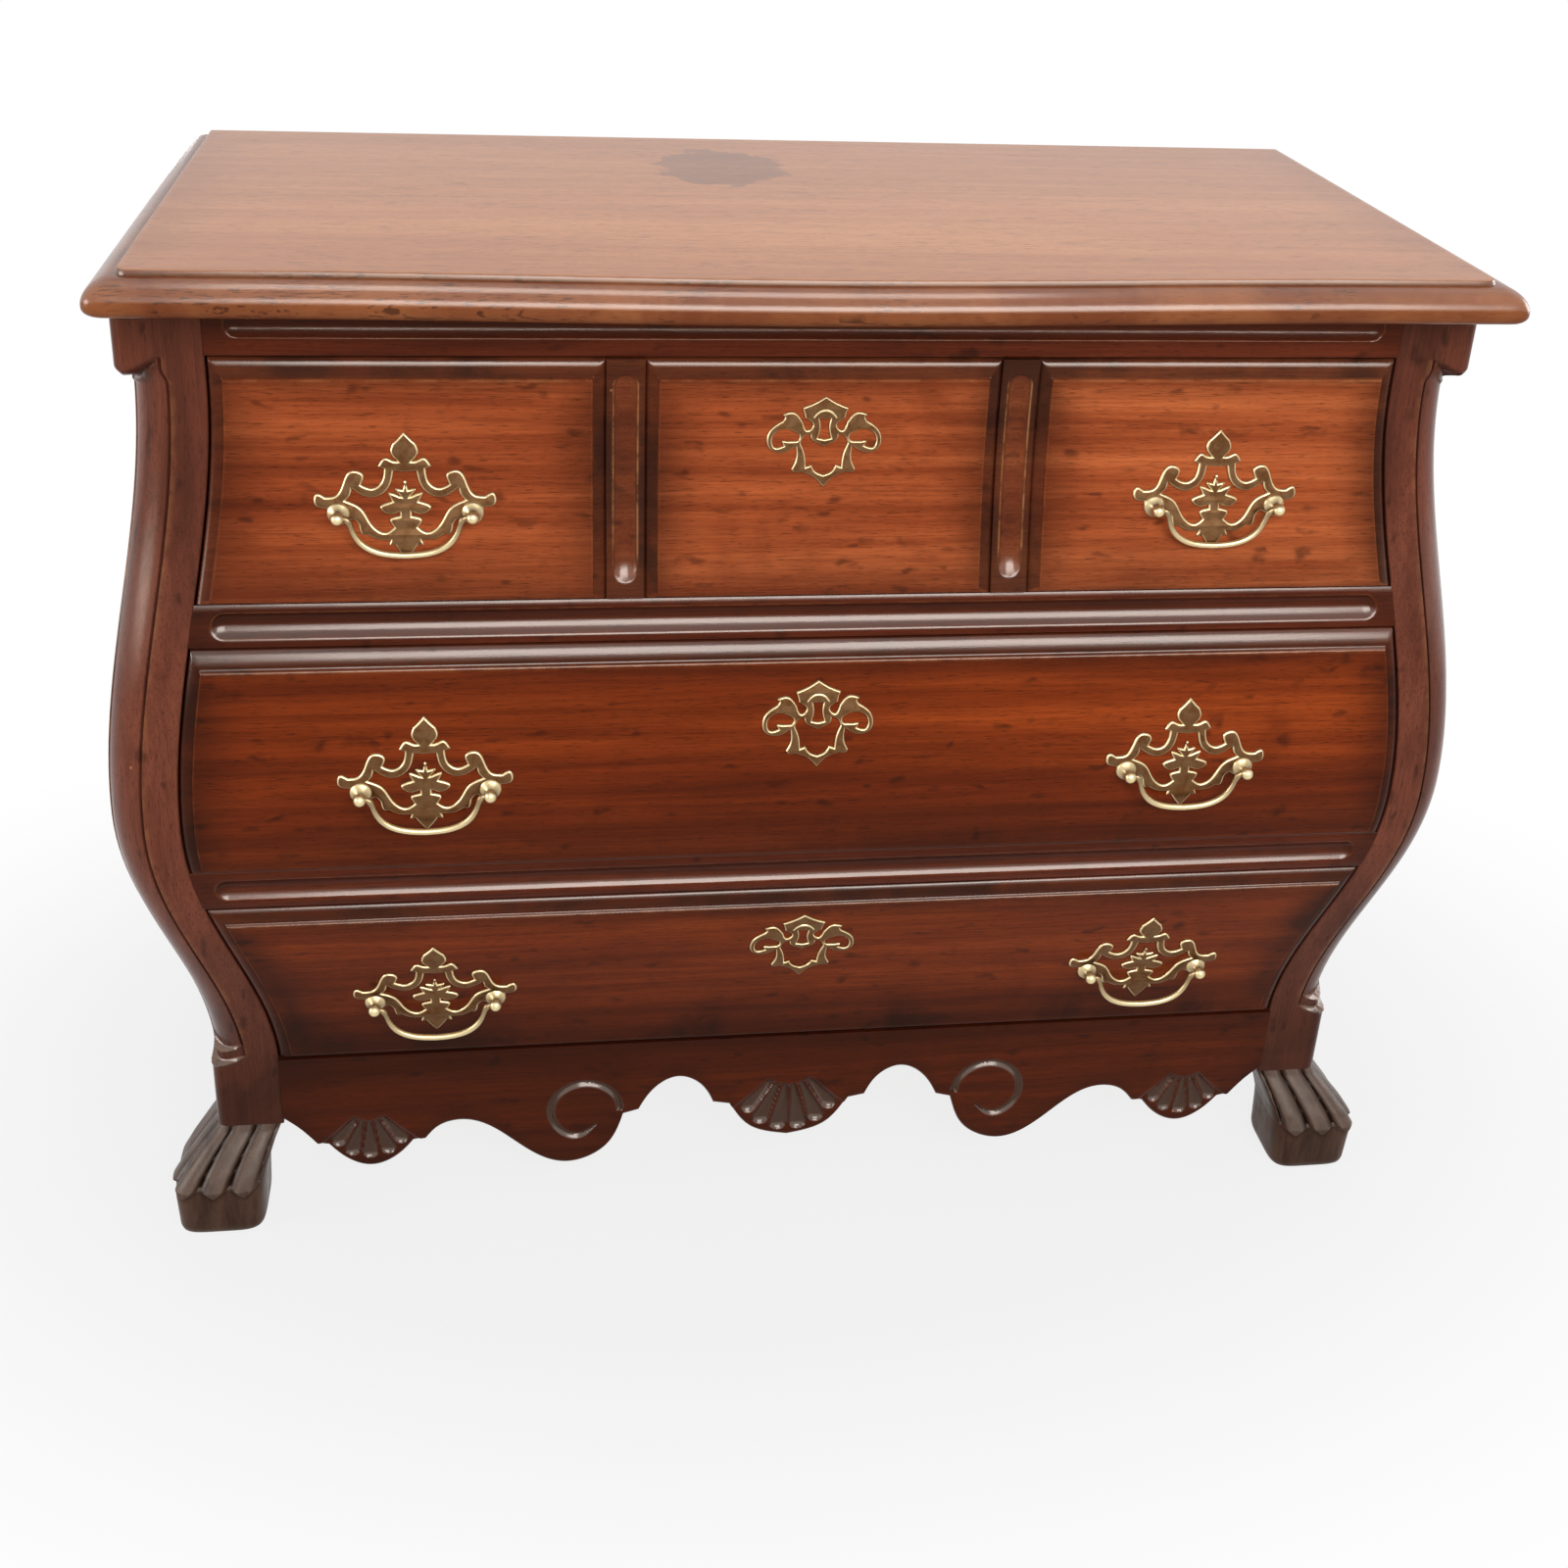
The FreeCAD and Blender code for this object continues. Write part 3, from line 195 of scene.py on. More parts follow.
class Finish:
    """A node material under construction: most methods add a node and return its output."""

    def __init__(self, name):
        self.material = bpy.data.materials.new(name)
        self.material.use_nodes = True
        self.tree = self.material.node_tree
        self.shader = self.tree.nodes["Principled BSDF"]
        coordinates = self.add("ShaderNodeTexCoord")
        self.place = coordinates.outputs["Object"]
        self.facing = coordinates.outputs["Normal"]

    def add(self, kind, inputs=None, **settings):
        node = self.tree.nodes.new(kind)
        for key, value in settings.items():
            setattr(node, key, value)
        for key, value in (inputs or {}).items():
            self.join(value, node.inputs[key])
        return node

    def join(self, value, socket):
        if isinstance(value, bpy.types.NodeSocket):
            self.tree.links.new(value, socket)
        else:
            socket.default_value = value

    def set(self, **values):
        """Joins or sets inputs of the shader, named with underscores for spaces."""
        for key, value in values.items():
            self.join(value, self.shader.inputs[key.replace("_", " ")])

    def shade(self):
        """The three values that the piece's own points carry."""
        held = self.add("ShaderNodeAttribute", attribute_name="shade")
        return self.add("ShaderNodeSeparateXYZ", {0: held.outputs["Vector"]}).outputs

    def stretched(self, scale, turn=(0, 0, 0), move=(0, 0, 0)):
        """The place of a point, scaled, then turned, then moved."""
        inputs = {"Vector": self.place, "Location": move, "Rotation": turn, "Scale": scale}
        return self.add("ShaderNodeMapping", inputs).outputs["Vector"]

    def length(self, vector):
        return self.add("ShaderNodeVectorMath", {0: vector}, operation="LENGTH").outputs["Value"]

    def cells(self, vector, scale):
        """Distance from the core of the nearest scattered cell, and a random value for each cell."""
        inputs = {"Vector": vector, "Scale": scale, "Randomness": 1.0}
        found = self.add("ShaderNodeTexVoronoi", inputs).outputs
        return found["Distance"], self.add("ShaderNodeSeparateColor", {0: found["Color"]}).outputs[0]

    def noise(self, vector, scale=1.0, detail=3.0, rough=0.5, twist=0.0):
        inputs = {"Vector": vector, "Scale": scale, "Detail": detail, "Roughness": rough,
                  "Distortion": twist}
        return self.add("ShaderNodeTexNoise", inputs).outputs["Fac"]

    def math(self, operation, one, other=0.0):
        node = self.add("ShaderNodeMath", {0: one, 1: other}, operation=operation)
        return node.outputs[0]

    def range(self, value, low, high, start=0.0, end=1.0):
        """Smoothly maps low to high onto start to end, and holds the ends."""
        inputs = {"Value": value, "From Min": low, "From Max": high, "To Min": start, "To Max": end}
        return self.add("ShaderNodeMapRange", inputs, interpolation_type="SMOOTHSTEP").outputs["Result"]

    def mix(self, share, one, other, mode="MIX"):
        node = self.add("ShaderNodeMix", {0: share, 6: one, 7: other}, data_type="RGBA", blend_type=mode)
        return node.outputs[2]

    def polish(self, lowest, highest):
        """Sets the gloss: weak and warm on upright faces, strong and clear on mouldings that turn upwards,
        and weaker again on level ground, where dust dulls it."""
        up = self.add("ShaderNodeSeparateXYZ", {0: self.facing}).outputs[2]
        level = self.math("MULTIPLY", self.range(up, *RISING, lowest, highest),
                          self.range(up, *LEVEL_GROUND, 1.0, DUSTY))
        tint = self.mix(self.range(up, *RISING), LACQUER, CLEAR)
        self.set(Specular_IOR_Level=level, Specular_Tint=tint)

    def bump(self, height, strength, distance):
        inputs = {"Height": height, "Strength": strength, "Distance": distance}
        self.set(Normal=self.add("ShaderNodeBump", inputs).outputs["Normal"])


def grain_scale(along, length, width):
    """Scale of a pattern that is long along the grain and narrow across it."""
    return tuple(length if axis == along else width for axis in "XYZ")


GLAZE = colour(30, 10, 7)
LACQUER = (1.0, 0.7, 0.5, 1.0)
CLEAR = (1.0, 0.9, 0.82, 1.0)
CARVED_GLAZE_AND_SHEEN = colour(80, 64, 54)
RUBBED_AND_HIGHLIGHT = colour(176, 116, 72)
# Upward parts of a face's normal: where gloss grows on rising faces and where dust dulls level ones
RISING, LEVEL_GROUND, DUSTY = (0.22, 0.4), (0.93, 0.995), 0.32


def mahogany(name, along, *tones, gloss=0.15, marked=0.56, stain=None, glaze=GLAZE):
    """Glazed mahogany: bands of tone, streaked grain, pores and short dark marks of age, with dark glaze at
    the edges, which also carries painted shade, a brown-black glaze on carved work, which also carries painted
    sheen and highlights in flutes, and rubbed arrises with some painted highlights. A stained top also gets a
    stain on its field and scratches in its moulded edge."""
    wood = Finish(f"mahogany_{name}")
    bright, middle, dark = (colour(*tone) for tone in tones)
    edge, wear, carved = wood.shade()
    bands = wood.noise(wood.stretched(grain_scale(along, 0.8, 12)), 1, 2, 0.5, 0.4)
    figure = wood.noise(wood.stretched(grain_scale(along, 2.6, 75)), 1, 6, 0.62, 0.5)
    fine = wood.noise(wood.stretched(grain_scale(along, 14, 520)), 1, 3, 0.6)
    pores = wood.noise(wood.stretched(grain_scale(along, 80, 1500)), 1, 2, 0.5)
    blotch = wood.noise(wood.place, 9, 4, 0.6, 0.5)
    tone = wood.mix(wood.range(figure, 0.26, 0.74), dark, middle)
    rich = wood.mix(wood.range(figure, 0.26, 0.74), middle, bright)
    tone = wood.mix(wood.range(bands, 0.34, 0.64), tone, rich)
    tone = wood.mix(wood.range(fine, 0.4, 0.72, 0.0, 0.4), tone, dark)
    tone = wood.mix(wood.range(pores, 0.58, 0.68, 0.0, 0.55), tone, GLAZE)
    tone = wood.mix(wood.range(blotch, 0.5, 0.72, 0.0, 0.4), tone, dark)
    marks = dashes(wood, along)
    tone = wood.mix(wood.math("MULTIPLY", marks, marked), tone, GLAZE)
    if stain:
        tone = wood.mix(wood.math("MULTIPLY", spot(wood, stain), 0.6), tone, colour(104, 62, 42))
    # The first shade value is glaze with painted shade: low on the chest, on upright mouldings, in the upper
    # halves of flutes and along the step of the top.
    shadow = wood.math("MULTIPLY", edge, wood.range(blotch, 0.25, 0.7, 1.1, 0.7))
    tone = wood.mix(wood.math("MINIMUM", shadow, 0.92), tone, glaze)
    scuff = wood.noise(wood.place, 55, 4, 0.65)
    # The third value is glaze on carved work, with painted sheen in the lower halves of the rail flutes and
    # painted highlight at the lower ends of the divider flutes.
    tone = wood.mix(wood.math("MULTIPLY", carved, wood.range(scuff, 0.2, 0.8, 1.0, 0.8)), tone, CARVED_GLAZE_AND_SHEEN)
    if stain:
        tone = wood.mix(scratches(wood, carved), tone, GLAZE)
    # The second value is rubbed arrises, with painted highlight along the top edges of the fields and across the
    # top's nose.
    rubbed = wood.math("MULTIPLY", wear, wood.range(scuff, 0.36, 0.6, 0.15, 1.0))
    tone = wood.mix(wood.math("MINIMUM", rubbed, 0.9), tone, RUBBED_AND_HIGHLIGHT)
    tone = wood.mix(nicks(wood), tone, RUBBED_AND_HIGHLIGHT)
    wood.set(Base_Color=tone)
    wood.polish(0.12, 0.9)
    wood.set(Roughness=wood.range(fine, 0.2, 0.8, gloss, gloss + 0.1))
    height = wood.math("SUBTRACT", wood.math("MULTIPLY", fine, 0.5), wood.math("ADD", pores, marks))
    wood.bump(height, 0.08, 0.0005)
    return wood.material


def spot(wood, stain):
    """An uneven oval mark with a centre and half sizes in metres."""
    x, y, half_x, half_y = stain
    oval = wood.stretched((1 / half_x, 1 / half_y, 0), move=(-x / half_x, -y / half_y, 0))
    ragged = wood.math("ADD", wood.length(oval), wood.noise(wood.place, 26, 3, 0.6))
    return wood.range(ragged, 1.35, 1.5, 1.0, 0.0)


def dashes(wood, along):
    """Short soft marks: the cores of some scattered long cells, bent by a noise. One set follows the grain
    and a finer one slants across it."""
    inputs = {"Vector": wood.place, "Scale": 38.0, "Detail": 2.0}
    bend = wood.add("ShaderNodeTexNoise", inputs).outputs["Color"]
    sets = []
    for slant, scale in ((0.0, grain_scale(along, 30, 58)), (0.65, grain_scale(along, 34, 105))):
        inputs = {0: bend, 1: (1.5, 1.5, 1.5), 2: wood.stretched(scale, (0, slant, 0))}
        moved = wood.add("ShaderNodeVectorMath", inputs, operation="MULTIPLY_ADD").outputs[0]
        distance, chosen = wood.cells(moved, 1.0)
        core = wood.range(distance, 0.06, 0.4, 1.0, 0.0)
        sets.append(wood.math("MULTIPLY", core, wood.range(chosen, 0.7, 0.92)))
    return wood.math("MAXIMUM", *sets)


def scratches(wood, edge):
    """Fine slanting scratches in patches of a moulded edge, more of them towards the left."""
    slanting = wood.stretched((80, 1300, 60), (0, 0, 0.75))
    lines = wood.range(wood.noise(slanting, 1, 2, 0.5), 0.56, 0.62)
    across = wood.add("ShaderNodeSeparateXYZ", {0: wood.place}).outputs[0]
    left = wood.range(across, -0.4, 0.25, 0.1, -0.06)
    cloud = wood.noise(wood.stretched((11, 24, 24)), 1, 3, 0.6)
    patch = wood.range(wood.math("ADD", cloud, left), 0.5, 0.62)
    lines = wood.math("MULTIPLY", lines, patch)
    return wood.math("MULTIPLY", lines, wood.range(edge, 0.01, 0.05, 0.0, 0.65))


def nicks(wood):
    """Tiny pale chips: the cores of a few scattered cells."""
    distance, chosen = wood.cells(wood.place, 24.0)
    core = wood.range(distance, 0.02, 0.05, 0.8, 0.0)
    return wood.math("MULTIPLY", core, wood.range(chosen, 0.9, 0.93))


def dark_carving():
    """Carved paw feet: brown-black glaze in the hollows, with painted shadow under the claw tips, rubbed
    grey-brown on the ridges.
    """
    wood = Finish("dark_carving")
    hollow, wear = wood.shade()[:2]
    streak = wood.noise(wood.stretched((90, 90, 16)), 1, 5, 0.6, 0.3)
    patch = wood.noise(wood.place, 38, 5, 0.65, 0.4)
    speck = wood.noise(wood.place, 420, 3, 0.6)
    tone = wood.mix(wood.range(streak, 0.32, 0.7), colour(52, 34, 26), colour(84, 60, 47))
    tone = wood.mix(wood.range(patch, 0.5, 0.72, 0.0, 0.5), tone, colour(74, 40, 28))
    rubbed = wood.math("MULTIPLY", wear, wood.range(patch, 0.3, 0.62, 0.35, 1.0))
    tone = wood.mix(wood.math("MINIMUM", rubbed, 0.7), tone, colour(106, 92, 82))
    tone = wood.mix(wood.math("MULTIPLY", hollow, 0.9), tone, colour(22, 13, 10))
    tone = wood.mix(wood.range(speck, 0.6, 0.72, 0.0, 0.5), tone, colour(28, 16, 12))
    wood.set(Base_Color=tone)
    wood.polish(0.13, 0.4)
    wood.set(Roughness=wood.range(patch, 0.3, 0.7, 0.3, 0.45))
    wood.bump(wood.math("ADD", streak, wood.math("MULTIPLY", speck, 0.5)), 0.2, 0.0008)
    return wood.material


def pale_wood():
    """Bare drawer wood: straight grain along the boards with a little colour drift."""
    wood = Finish("pale_wood")
    figure = wood.noise(wood.stretched((26, 2, 40)), 1, 6, 0.6, 0.4)
    fine = wood.noise(wood.stretched((260, 8, 320)), 1, 3, 0.55)
    drift = wood.noise(wood.place, 3, 3, 0.5)
    tone = wood.mix(wood.range(figure, 0.3, 0.7), colour(176, 134, 88), colour(206, 168, 120))
    tone = wood.mix(wood.range(fine, 0.45, 0.75, 0.0, 0.35), tone, colour(140, 98, 60))
    tone = wood.mix(wood.range(drift, 0.4, 0.7, 0.0, 0.3), tone, colour(190, 140, 96))
    wood.set(Base_Color=tone, Specular_IOR_Level=0.25, Roughness=wood.range(fine, 0.2, 0.8, 0.5, 0.65))
    wood.bump(fine, 0.12, 0.0005)
    return wood.material


def plywood():
    """Bare plywood: wide wandering figure with fine dark flecks."""
    wood = Finish("plywood")
    figure = wood.noise(wood.stretched((1.5, 9, 24)), 1, 7, 0.6, 0.8)
    flecks = wood.noise(wood.stretched((12, 90, 360)), 1, 4, 0.62)
    tone = wood.mix(wood.range(figure, 0.35, 0.65), colour(158, 119, 77), colour(182, 142, 97))
    tone = wood.mix(wood.range(flecks, 0.56, 0.7, 0.0, 0.4), tone, colour(112, 78, 48))
    wood.set(Base_Color=tone, Specular_IOR_Level=0.22, Roughness=wood.range(flecks, 0.2, 0.8, 0.55, 0.7))
    wood.bump(flecks, 0.1, 0.0005)
    return wood.material


def antique_brass():
    """Antique brass: brown patina on flats and in hollows, bright metal on bevels and crowns; the dark flats and
    bright bevel crowns are partly painted reflection.
    """
    metal = Finish("antique_brass")
    patina = metal.shade()[0]
    cloud = metal.noise(metal.place, 90, 5, 0.65, 0.5)
    speck = metal.noise(metal.place, 700, 3, 0.6)
    tarnish = metal.math("MULTIPLY", patina, metal.range(cloud, 0.28, 0.62, 1.0, 0.94))
    tone = metal.mix(tarnish, colour(240, 219, 170), colour(96, 58, 27))
    tone = metal.mix(metal.range(speck, 0.58, 0.74, 0.0, 0.45), tone, colour(52, 35, 20))
    metal.set(Base_Color=tone, Metallic=0.9, Roughness=metal.range(cloud, 0.25, 0.75, 0.26, 0.42))
    metal.bump(metal.math("ADD", cloud, metal.math("MULTIPLY", speck, 0.6)), 0.08, 0.0004)
    return metal.material


FINISHES = {
    # The top drawer's front has a lighter copy of the front's mahogany: painted light.
    "lit_top_front": mahogany("lit_top_front", "X", (200, 107, 60), (160, 73, 36), (104, 41, 18)),
    "front": mahogany("front", "X", (162, 70, 26), (122, 46, 15), (82, 28, 8)),
    "frame": mahogany("frame", "X", (116, 50, 28), (90, 36, 19), (60, 22, 12)),
    "apron": mahogany("apron", "X", (100, 38, 13), (78, 27, 8), (54, 17, 5)),
    "post": mahogany("post", "Z", (146, 80, 60), (118, 61, 45), (80, 39, 28)),
    "side": mahogany("side", "Z", (104, 50, 33), (80, 37, 24), (54, 24, 16), gloss=0.3),
    "top": mahogany("top", "X", (200, 132, 83), (190, 122, 73), (170, 104, 61), marked=0.22,
                    stain=(-0.054, 0.13, 0.062, 0.075), glaze=colour(104, 48, 25)),
    "carving": dark_carving(),
    "pale": pale_wood(),
    "plywood": plywood(),
    "brass": antique_brass(),
}
# Slots of the finishes that aren't mahogany, and the finishes of the frame's own solids by their slots
SLOT_FINISHES = {"mahogany": "side", "dark_carving": "carving", "pale_wood": "pale",
                 "plywood": "plywood", "brass": "brass"}


# Drawer fronts

SIDE_MOULDING, TOP_MOULDING, BOTTOM_LIP = 12, 18, 5
LOW_LIP_SHARE = 0.5
LIP_DROP, LEDGE_DROP = 8, 2.4
# Glaze: its widths and strengths at the edges of a front, on its mouldings, where it is glaze with painted shade,
# darkest on the upright ones, and painted shade low on the chest, darker towards the floor
SIDE_FADE, TOP_FADE, LOW_FADE = 70, 55, 70
EDGE_GLAZE, FOOT_GLAZE, LOW_PAINTED_SHADE = 0.75, 0.5, 0.45
LIP_GLAZE, UPRIGHT_GLAZE_AND_SHADE, TOP_GLAZE = 0.4, 0.95, 0.86
ROUND_SHARE, STEP_SHARE, FIELD_SHARE = 0.68, 0.8, 0.9
EDGE_SHARES = np.array([0, 0.015, 0.05, 0.1, 0.17, 0.26, 0.37, 0.5, 0.62, 0.68, 0.74, 0.8, 0.82, 0.85,
                        0.88, 0.9, 0.94, 1.0, 1.12])
OPENING_FLOORS = {"top": 612, "middle": 386, "bottom": 171}
DIVIDER_PLACE, DIVIDER_HALF, DIVIDER_DROP = 156, 15, 2.6
DIVIDER_FLUTE, DIVIDER_FLUTE_DEPTH, DIVIDER_FLUTE_END = 9.5, 4.5, 12


def moulding_drop(share):
    """Drop of the edge moulding below the field over a share of its width: quarter round, ledge, step."""
    turn = np.clip(share / ROUND_SHARE, 0, 1)
    rounded = LEDGE_DROP + (LIP_DROP - LEDGE_DROP) * (1 - np.sqrt(1 - (1 - turn) ** 2))
    return np.where(share < STEP_SHARE, rounded,
                    LEDGE_DROP * (1 - ease((share - STEP_SHARE) / (FIELD_SHARE - STEP_SHARE))))


def scoop(radius, half_width, depth):
    """Depth of a hollow with a round section, from its deepest line out to its sharp lips."""
    curve = (half_width ** 2 + depth ** 2) / (2 * depth)
    return np.sqrt(curve ** 2 - np.clip(radius, 0, half_width) ** 2) - (curve - depth)


def across_stations(name):
    """Stations across a front from left to right, each a share of the half width and an offset."""
    edge = SIDE_MOULDING * EDGE_SHARES
    near_edge = [(-1, offset) for offset in edge]
    if name == "top":
        outer = DIVIDER_PLACE + DIVIDER_HALF
        inner = DIVIDER_PLACE - DIVIDER_HALF
        flute = DIVIDER_FLUTE * np.sin(np.linspace(0, np.pi / 2, 8))
        strip = joined(flute, [DIVIDER_FLUTE + 0.4, DIVIDER_FLUTE + 1, 12, DIVIDER_HALF - 1.2,
                               DIVIDER_HALF - 0.4, DIVIDER_HALF])
        strip = joined(-strip, strip)
        near_edge += [(share - 1, (1 - share) * edge[-1] - share * (outer + edge[-1]))
                      for share in np.linspace(0.05, 0.95, 19)]
        near_edge += [(0, -outer - 0.3 - offset) for offset in edge[::-1]]
        near_edge += [(0, offset - DIVIDER_PLACE) for offset in strip]
        near_edge += [(0, offset + 0.3 - inner) for offset in edge]
        middle = [(0, x) for x in np.linspace(edge[-1] - inner, inner - edge[-1], 24)[1:-1]]
    else:
        middle = [(2 * share - 1, edge[-1] * (1 - 2 * share)) for share in np.linspace(0.01, 0.99, 70)]
    stations = near_edge + middle + [(-weight, -offset) for weight, offset in near_edge[::-1]]
    return np.array(stations).T


def drawer_front(name):
    """Front of a drawer: horizontal sections carried up the swell, each a closed loop from the left edge
    along the moulded front to the right edge and back along the flat inside. The drop of a point comes
    from its smallest share of the side, top and bottom mouldings, which mitres the corners."""
    box_low, box_high = node_box(f"{name}_drawer_front")
    low, high = box_low[2], box_high[2]
    flute_top = high - DIVIDER_FLUTE_END - DIVIDER_FLUTE
    flute_low = low + DIVIDER_FLUTE_END + DIVIDER_FLUTE
    arc = DIVIDER_FLUTE * np.sin(np.linspace(0, np.pi / 2, 9))
    ends = joined(flute_top + arc, flute_low - arc) if name == "top" else []
    level = joined(low + BOTTOM_LIP * EDGE_SHARES, high - TOP_MOULDING * EDGE_SHARES, ends,
                   np.linspace(low + 2 * BOTTOM_LIP, high - 1.2 * TOP_MOULDING, 44))[:, None]
    weight, offset = across_stations(name)
    half = edge_x(level) - (low - OPENING_FLOORS[name])
    x = weight * half + offset
    beside = np.abs(np.abs(x) - DIVIDER_PLACE) - DIVIDER_HALF if name == "top" else np.full(x.shape, 1e3)
    inward = np.minimum(half - np.abs(x), np.where(beside > 0, beside, 1e3))
    low_share = (level - low) / BOTTOM_LIP + 0 * x
    top_share = (high - level) / TOP_MOULDING + 0 * x
    upper_share = np.minimum(inward / SIDE_MOULDING, top_share)
    share = np.minimum(upper_share, low_share)
    drop = np.maximum(moulding_drop(upper_share), LOW_LIP_SHARE * moulding_drop(low_share))
    reach = np.minimum(inward / SIDE_FADE, (high - level) / TOP_FADE)
    glaze = np.maximum(EDGE_GLAZE * (1 - ease(reach)) ** 1.5,
                       FOOT_GLAZE * (1 - ease((level - low) / LOW_FADE)) ** 1.5)
    # Painted shade: darker towards the floor, most on the lower drawers.
    glaze = np.clip(glaze + LOW_PAINTED_SHADE * (1 - ease((level - 180) / 330)), 0, 0.9)
    # Rubbed arris round the field, stronger along the top edge, where it is partly painted highlight.
    wear = np.where(top_share <= share, 0.4, 0.12) * bump(share, 0.92, 0.05)
    moulded = 1 - ease((share - STEP_SHARE) / 0.12)
    upright = inward / SIDE_MOULDING <= top_share
    on_lip = low_share <= share
    # Glaze with painted shade on the mouldings: the upright ones, in their recesses beside the dividers and posts,
    # are darkest.
    dulled = np.where(on_lip, LIP_GLAZE, np.where(upright, UPRIGHT_GLAZE_AND_SHADE, TOP_GLAZE))
    glaze = np.maximum(glaze, dulled * moulded)
    carved = np.where(on_lip, 0.05, np.where(upright, 0.04, 0.12)) * moulded
    on_strip = beside <= 0
    centre_x = np.abs(x) - DIVIDER_PLACE
    radius = np.hypot(centre_x, np.maximum(0, np.maximum(level - flute_top, flute_low - level)))
    run_out = np.clip((flute_low + 6 - level) / (DIVIDER_FLUTE + 6), 0, 1)
    above = np.hypot(centre_x, np.maximum(0, level - flute_top))
    hollow = scoop(above, DIVIDER_FLUTE, DIVIDER_FLUTE_DEPTH)
    strip_drop = DIVIDER_DROP + np.maximum(0, hollow - DIVIDER_FLUTE_DEPTH * run_out ** 2)
    strip_drop = strip_drop + 0.8 * (1 - ease(-beside / 1.2))
    drop = np.where(on_strip, strip_drop, drop)
    inside = ease((DIVIDER_FLUTE - radius) / 2)
    foot = ease((flute_low + 16 - level) / 16)
    crest = ease((level - flute_top) / 7)
    glaze = np.where(on_strip, UPRIGHT_GLAZE_AND_SHADE - 0.35 * inside, glaze)
    wear = np.where(on_strip, 0.75 * bump(radius, DIVIDER_FLUTE, 0.6) * (1 - foot) * (1 - crest), wear)
    # A lighter grey-brown at the flute's round lower end: painted highlight.
    carved = np.where(on_strip, 0.1 + 0.2 * inside * foot, carved)
    piece = backed(x, face_y(level) + drop, level, box_high[1], np.dstack([glaze, wear, carved]))
    # The top drawer takes the lighter copy of the mahogany: painted light.
    finish = "lit_top_front" if name == "top" else "front"
    piece.make(f"{name}_moulded_front", f"{name}_drawer", finish, f"{name}_drawer_front")


# Rails

FLUTE_END, FLUTE_DEPTH, FLUTE_HALF = 15, 5, 10


def fluted_rail(node):
    """A rail with one long round-ended flute: horizontal sections carried up the swell."""
    box_low, box_high = node_box(node)
    low, high = box_low[2], box_high[2]
    middle = (low + high) / 2
    straight = edge_x(middle) - FLUTE_END - FLUTE_HALF
    arc = FLUTE_HALF * np.sin(np.linspace(0, np.pi / 2, 12))
    lip_rows = FLUTE_HALF + np.array([0.35, 0.8, 1.5])
    edge_rows = np.array([0, 0.25, 0.55, 1.0])
    level = joined(low + edge_rows, high - edge_rows, middle - arc, middle + arc, middle - lip_rows,
                   middle + lip_rows)[:, None]
    ends = np.linspace(0, FLUTE_END + 2 * FLUTE_HALF + 4, 40)
    between = np.linspace(-0.96, 0.96, 60)
    weight = np.concatenate([np.full_like(ends, -1), between, np.full_like(ends, 1)])
    offset = np.concatenate([ends, -ends[-1] * between, -ends[::-1]])
    half = edge_x(level) - 0.1
    x = weight * half + offset
    radius = np.hypot(np.maximum(0, np.abs(x) - straight), level - middle)
    hollow = scoop(radius, FLUTE_HALF, FLUTE_DEPTH) + 0.35 * bump(radius, FLUTE_HALF, 0.7)
    lip = np.minimum(high - level, level - low)
    y = face_y(level) + FRAME_DROP + hollow + 0.4 * (1 - ease(lip)) + 0 * x
    wear = 0.22 * bump(radius, FLUTE_HALF + 0.2, 0.5)
    # The top rail has no base glaze and is lighter than the other rails: painted light where the top's overhang
    # shades it.
    glaze = (0.0 if node == "top_rail" else 0.3) + 0.3 * (1 - ease((half - np.abs(x)) / 40))
    inside = ease((FLUTE_HALF - radius) / 3)
    # Painted shade: darker in the upper half of the flute, which faces down.
    glaze = glaze + 0.3 * inside * ease((level - middle + 4) / 8)
    # Grey-brown tone in the lower half of the flute: painted sheen.
    carved = (0.05 + 0.2 * ease((middle - level) / 6)) * inside
    piece = backed(x, y, level, box_high[1], np.dstack([glaze, wear, carved]))
    piece.make(f"{node}_fluted", "case", "frame", node)


# Corner posts

POST_WIDTH, CORNER_ROUND = 58, 10
PILASTER_START, PILASTER_DROP, PILASTER_REACH, PILASTER_BULGE = 30, 2, 28, 4.2
CAP_LEVEL, CAP_SLOPE, CAP_PROJECTION = 782, 13, 9
TONGUE_LEVELS, TONGUE_SAG = (185, 173), 8
TONGUE_STATIONS, CAP_STATIONS = np.arange(150, 192), np.arange(766, 812)
CAP_RISE = 20
RING_DROP, RING_HEIGHT = 4, 5


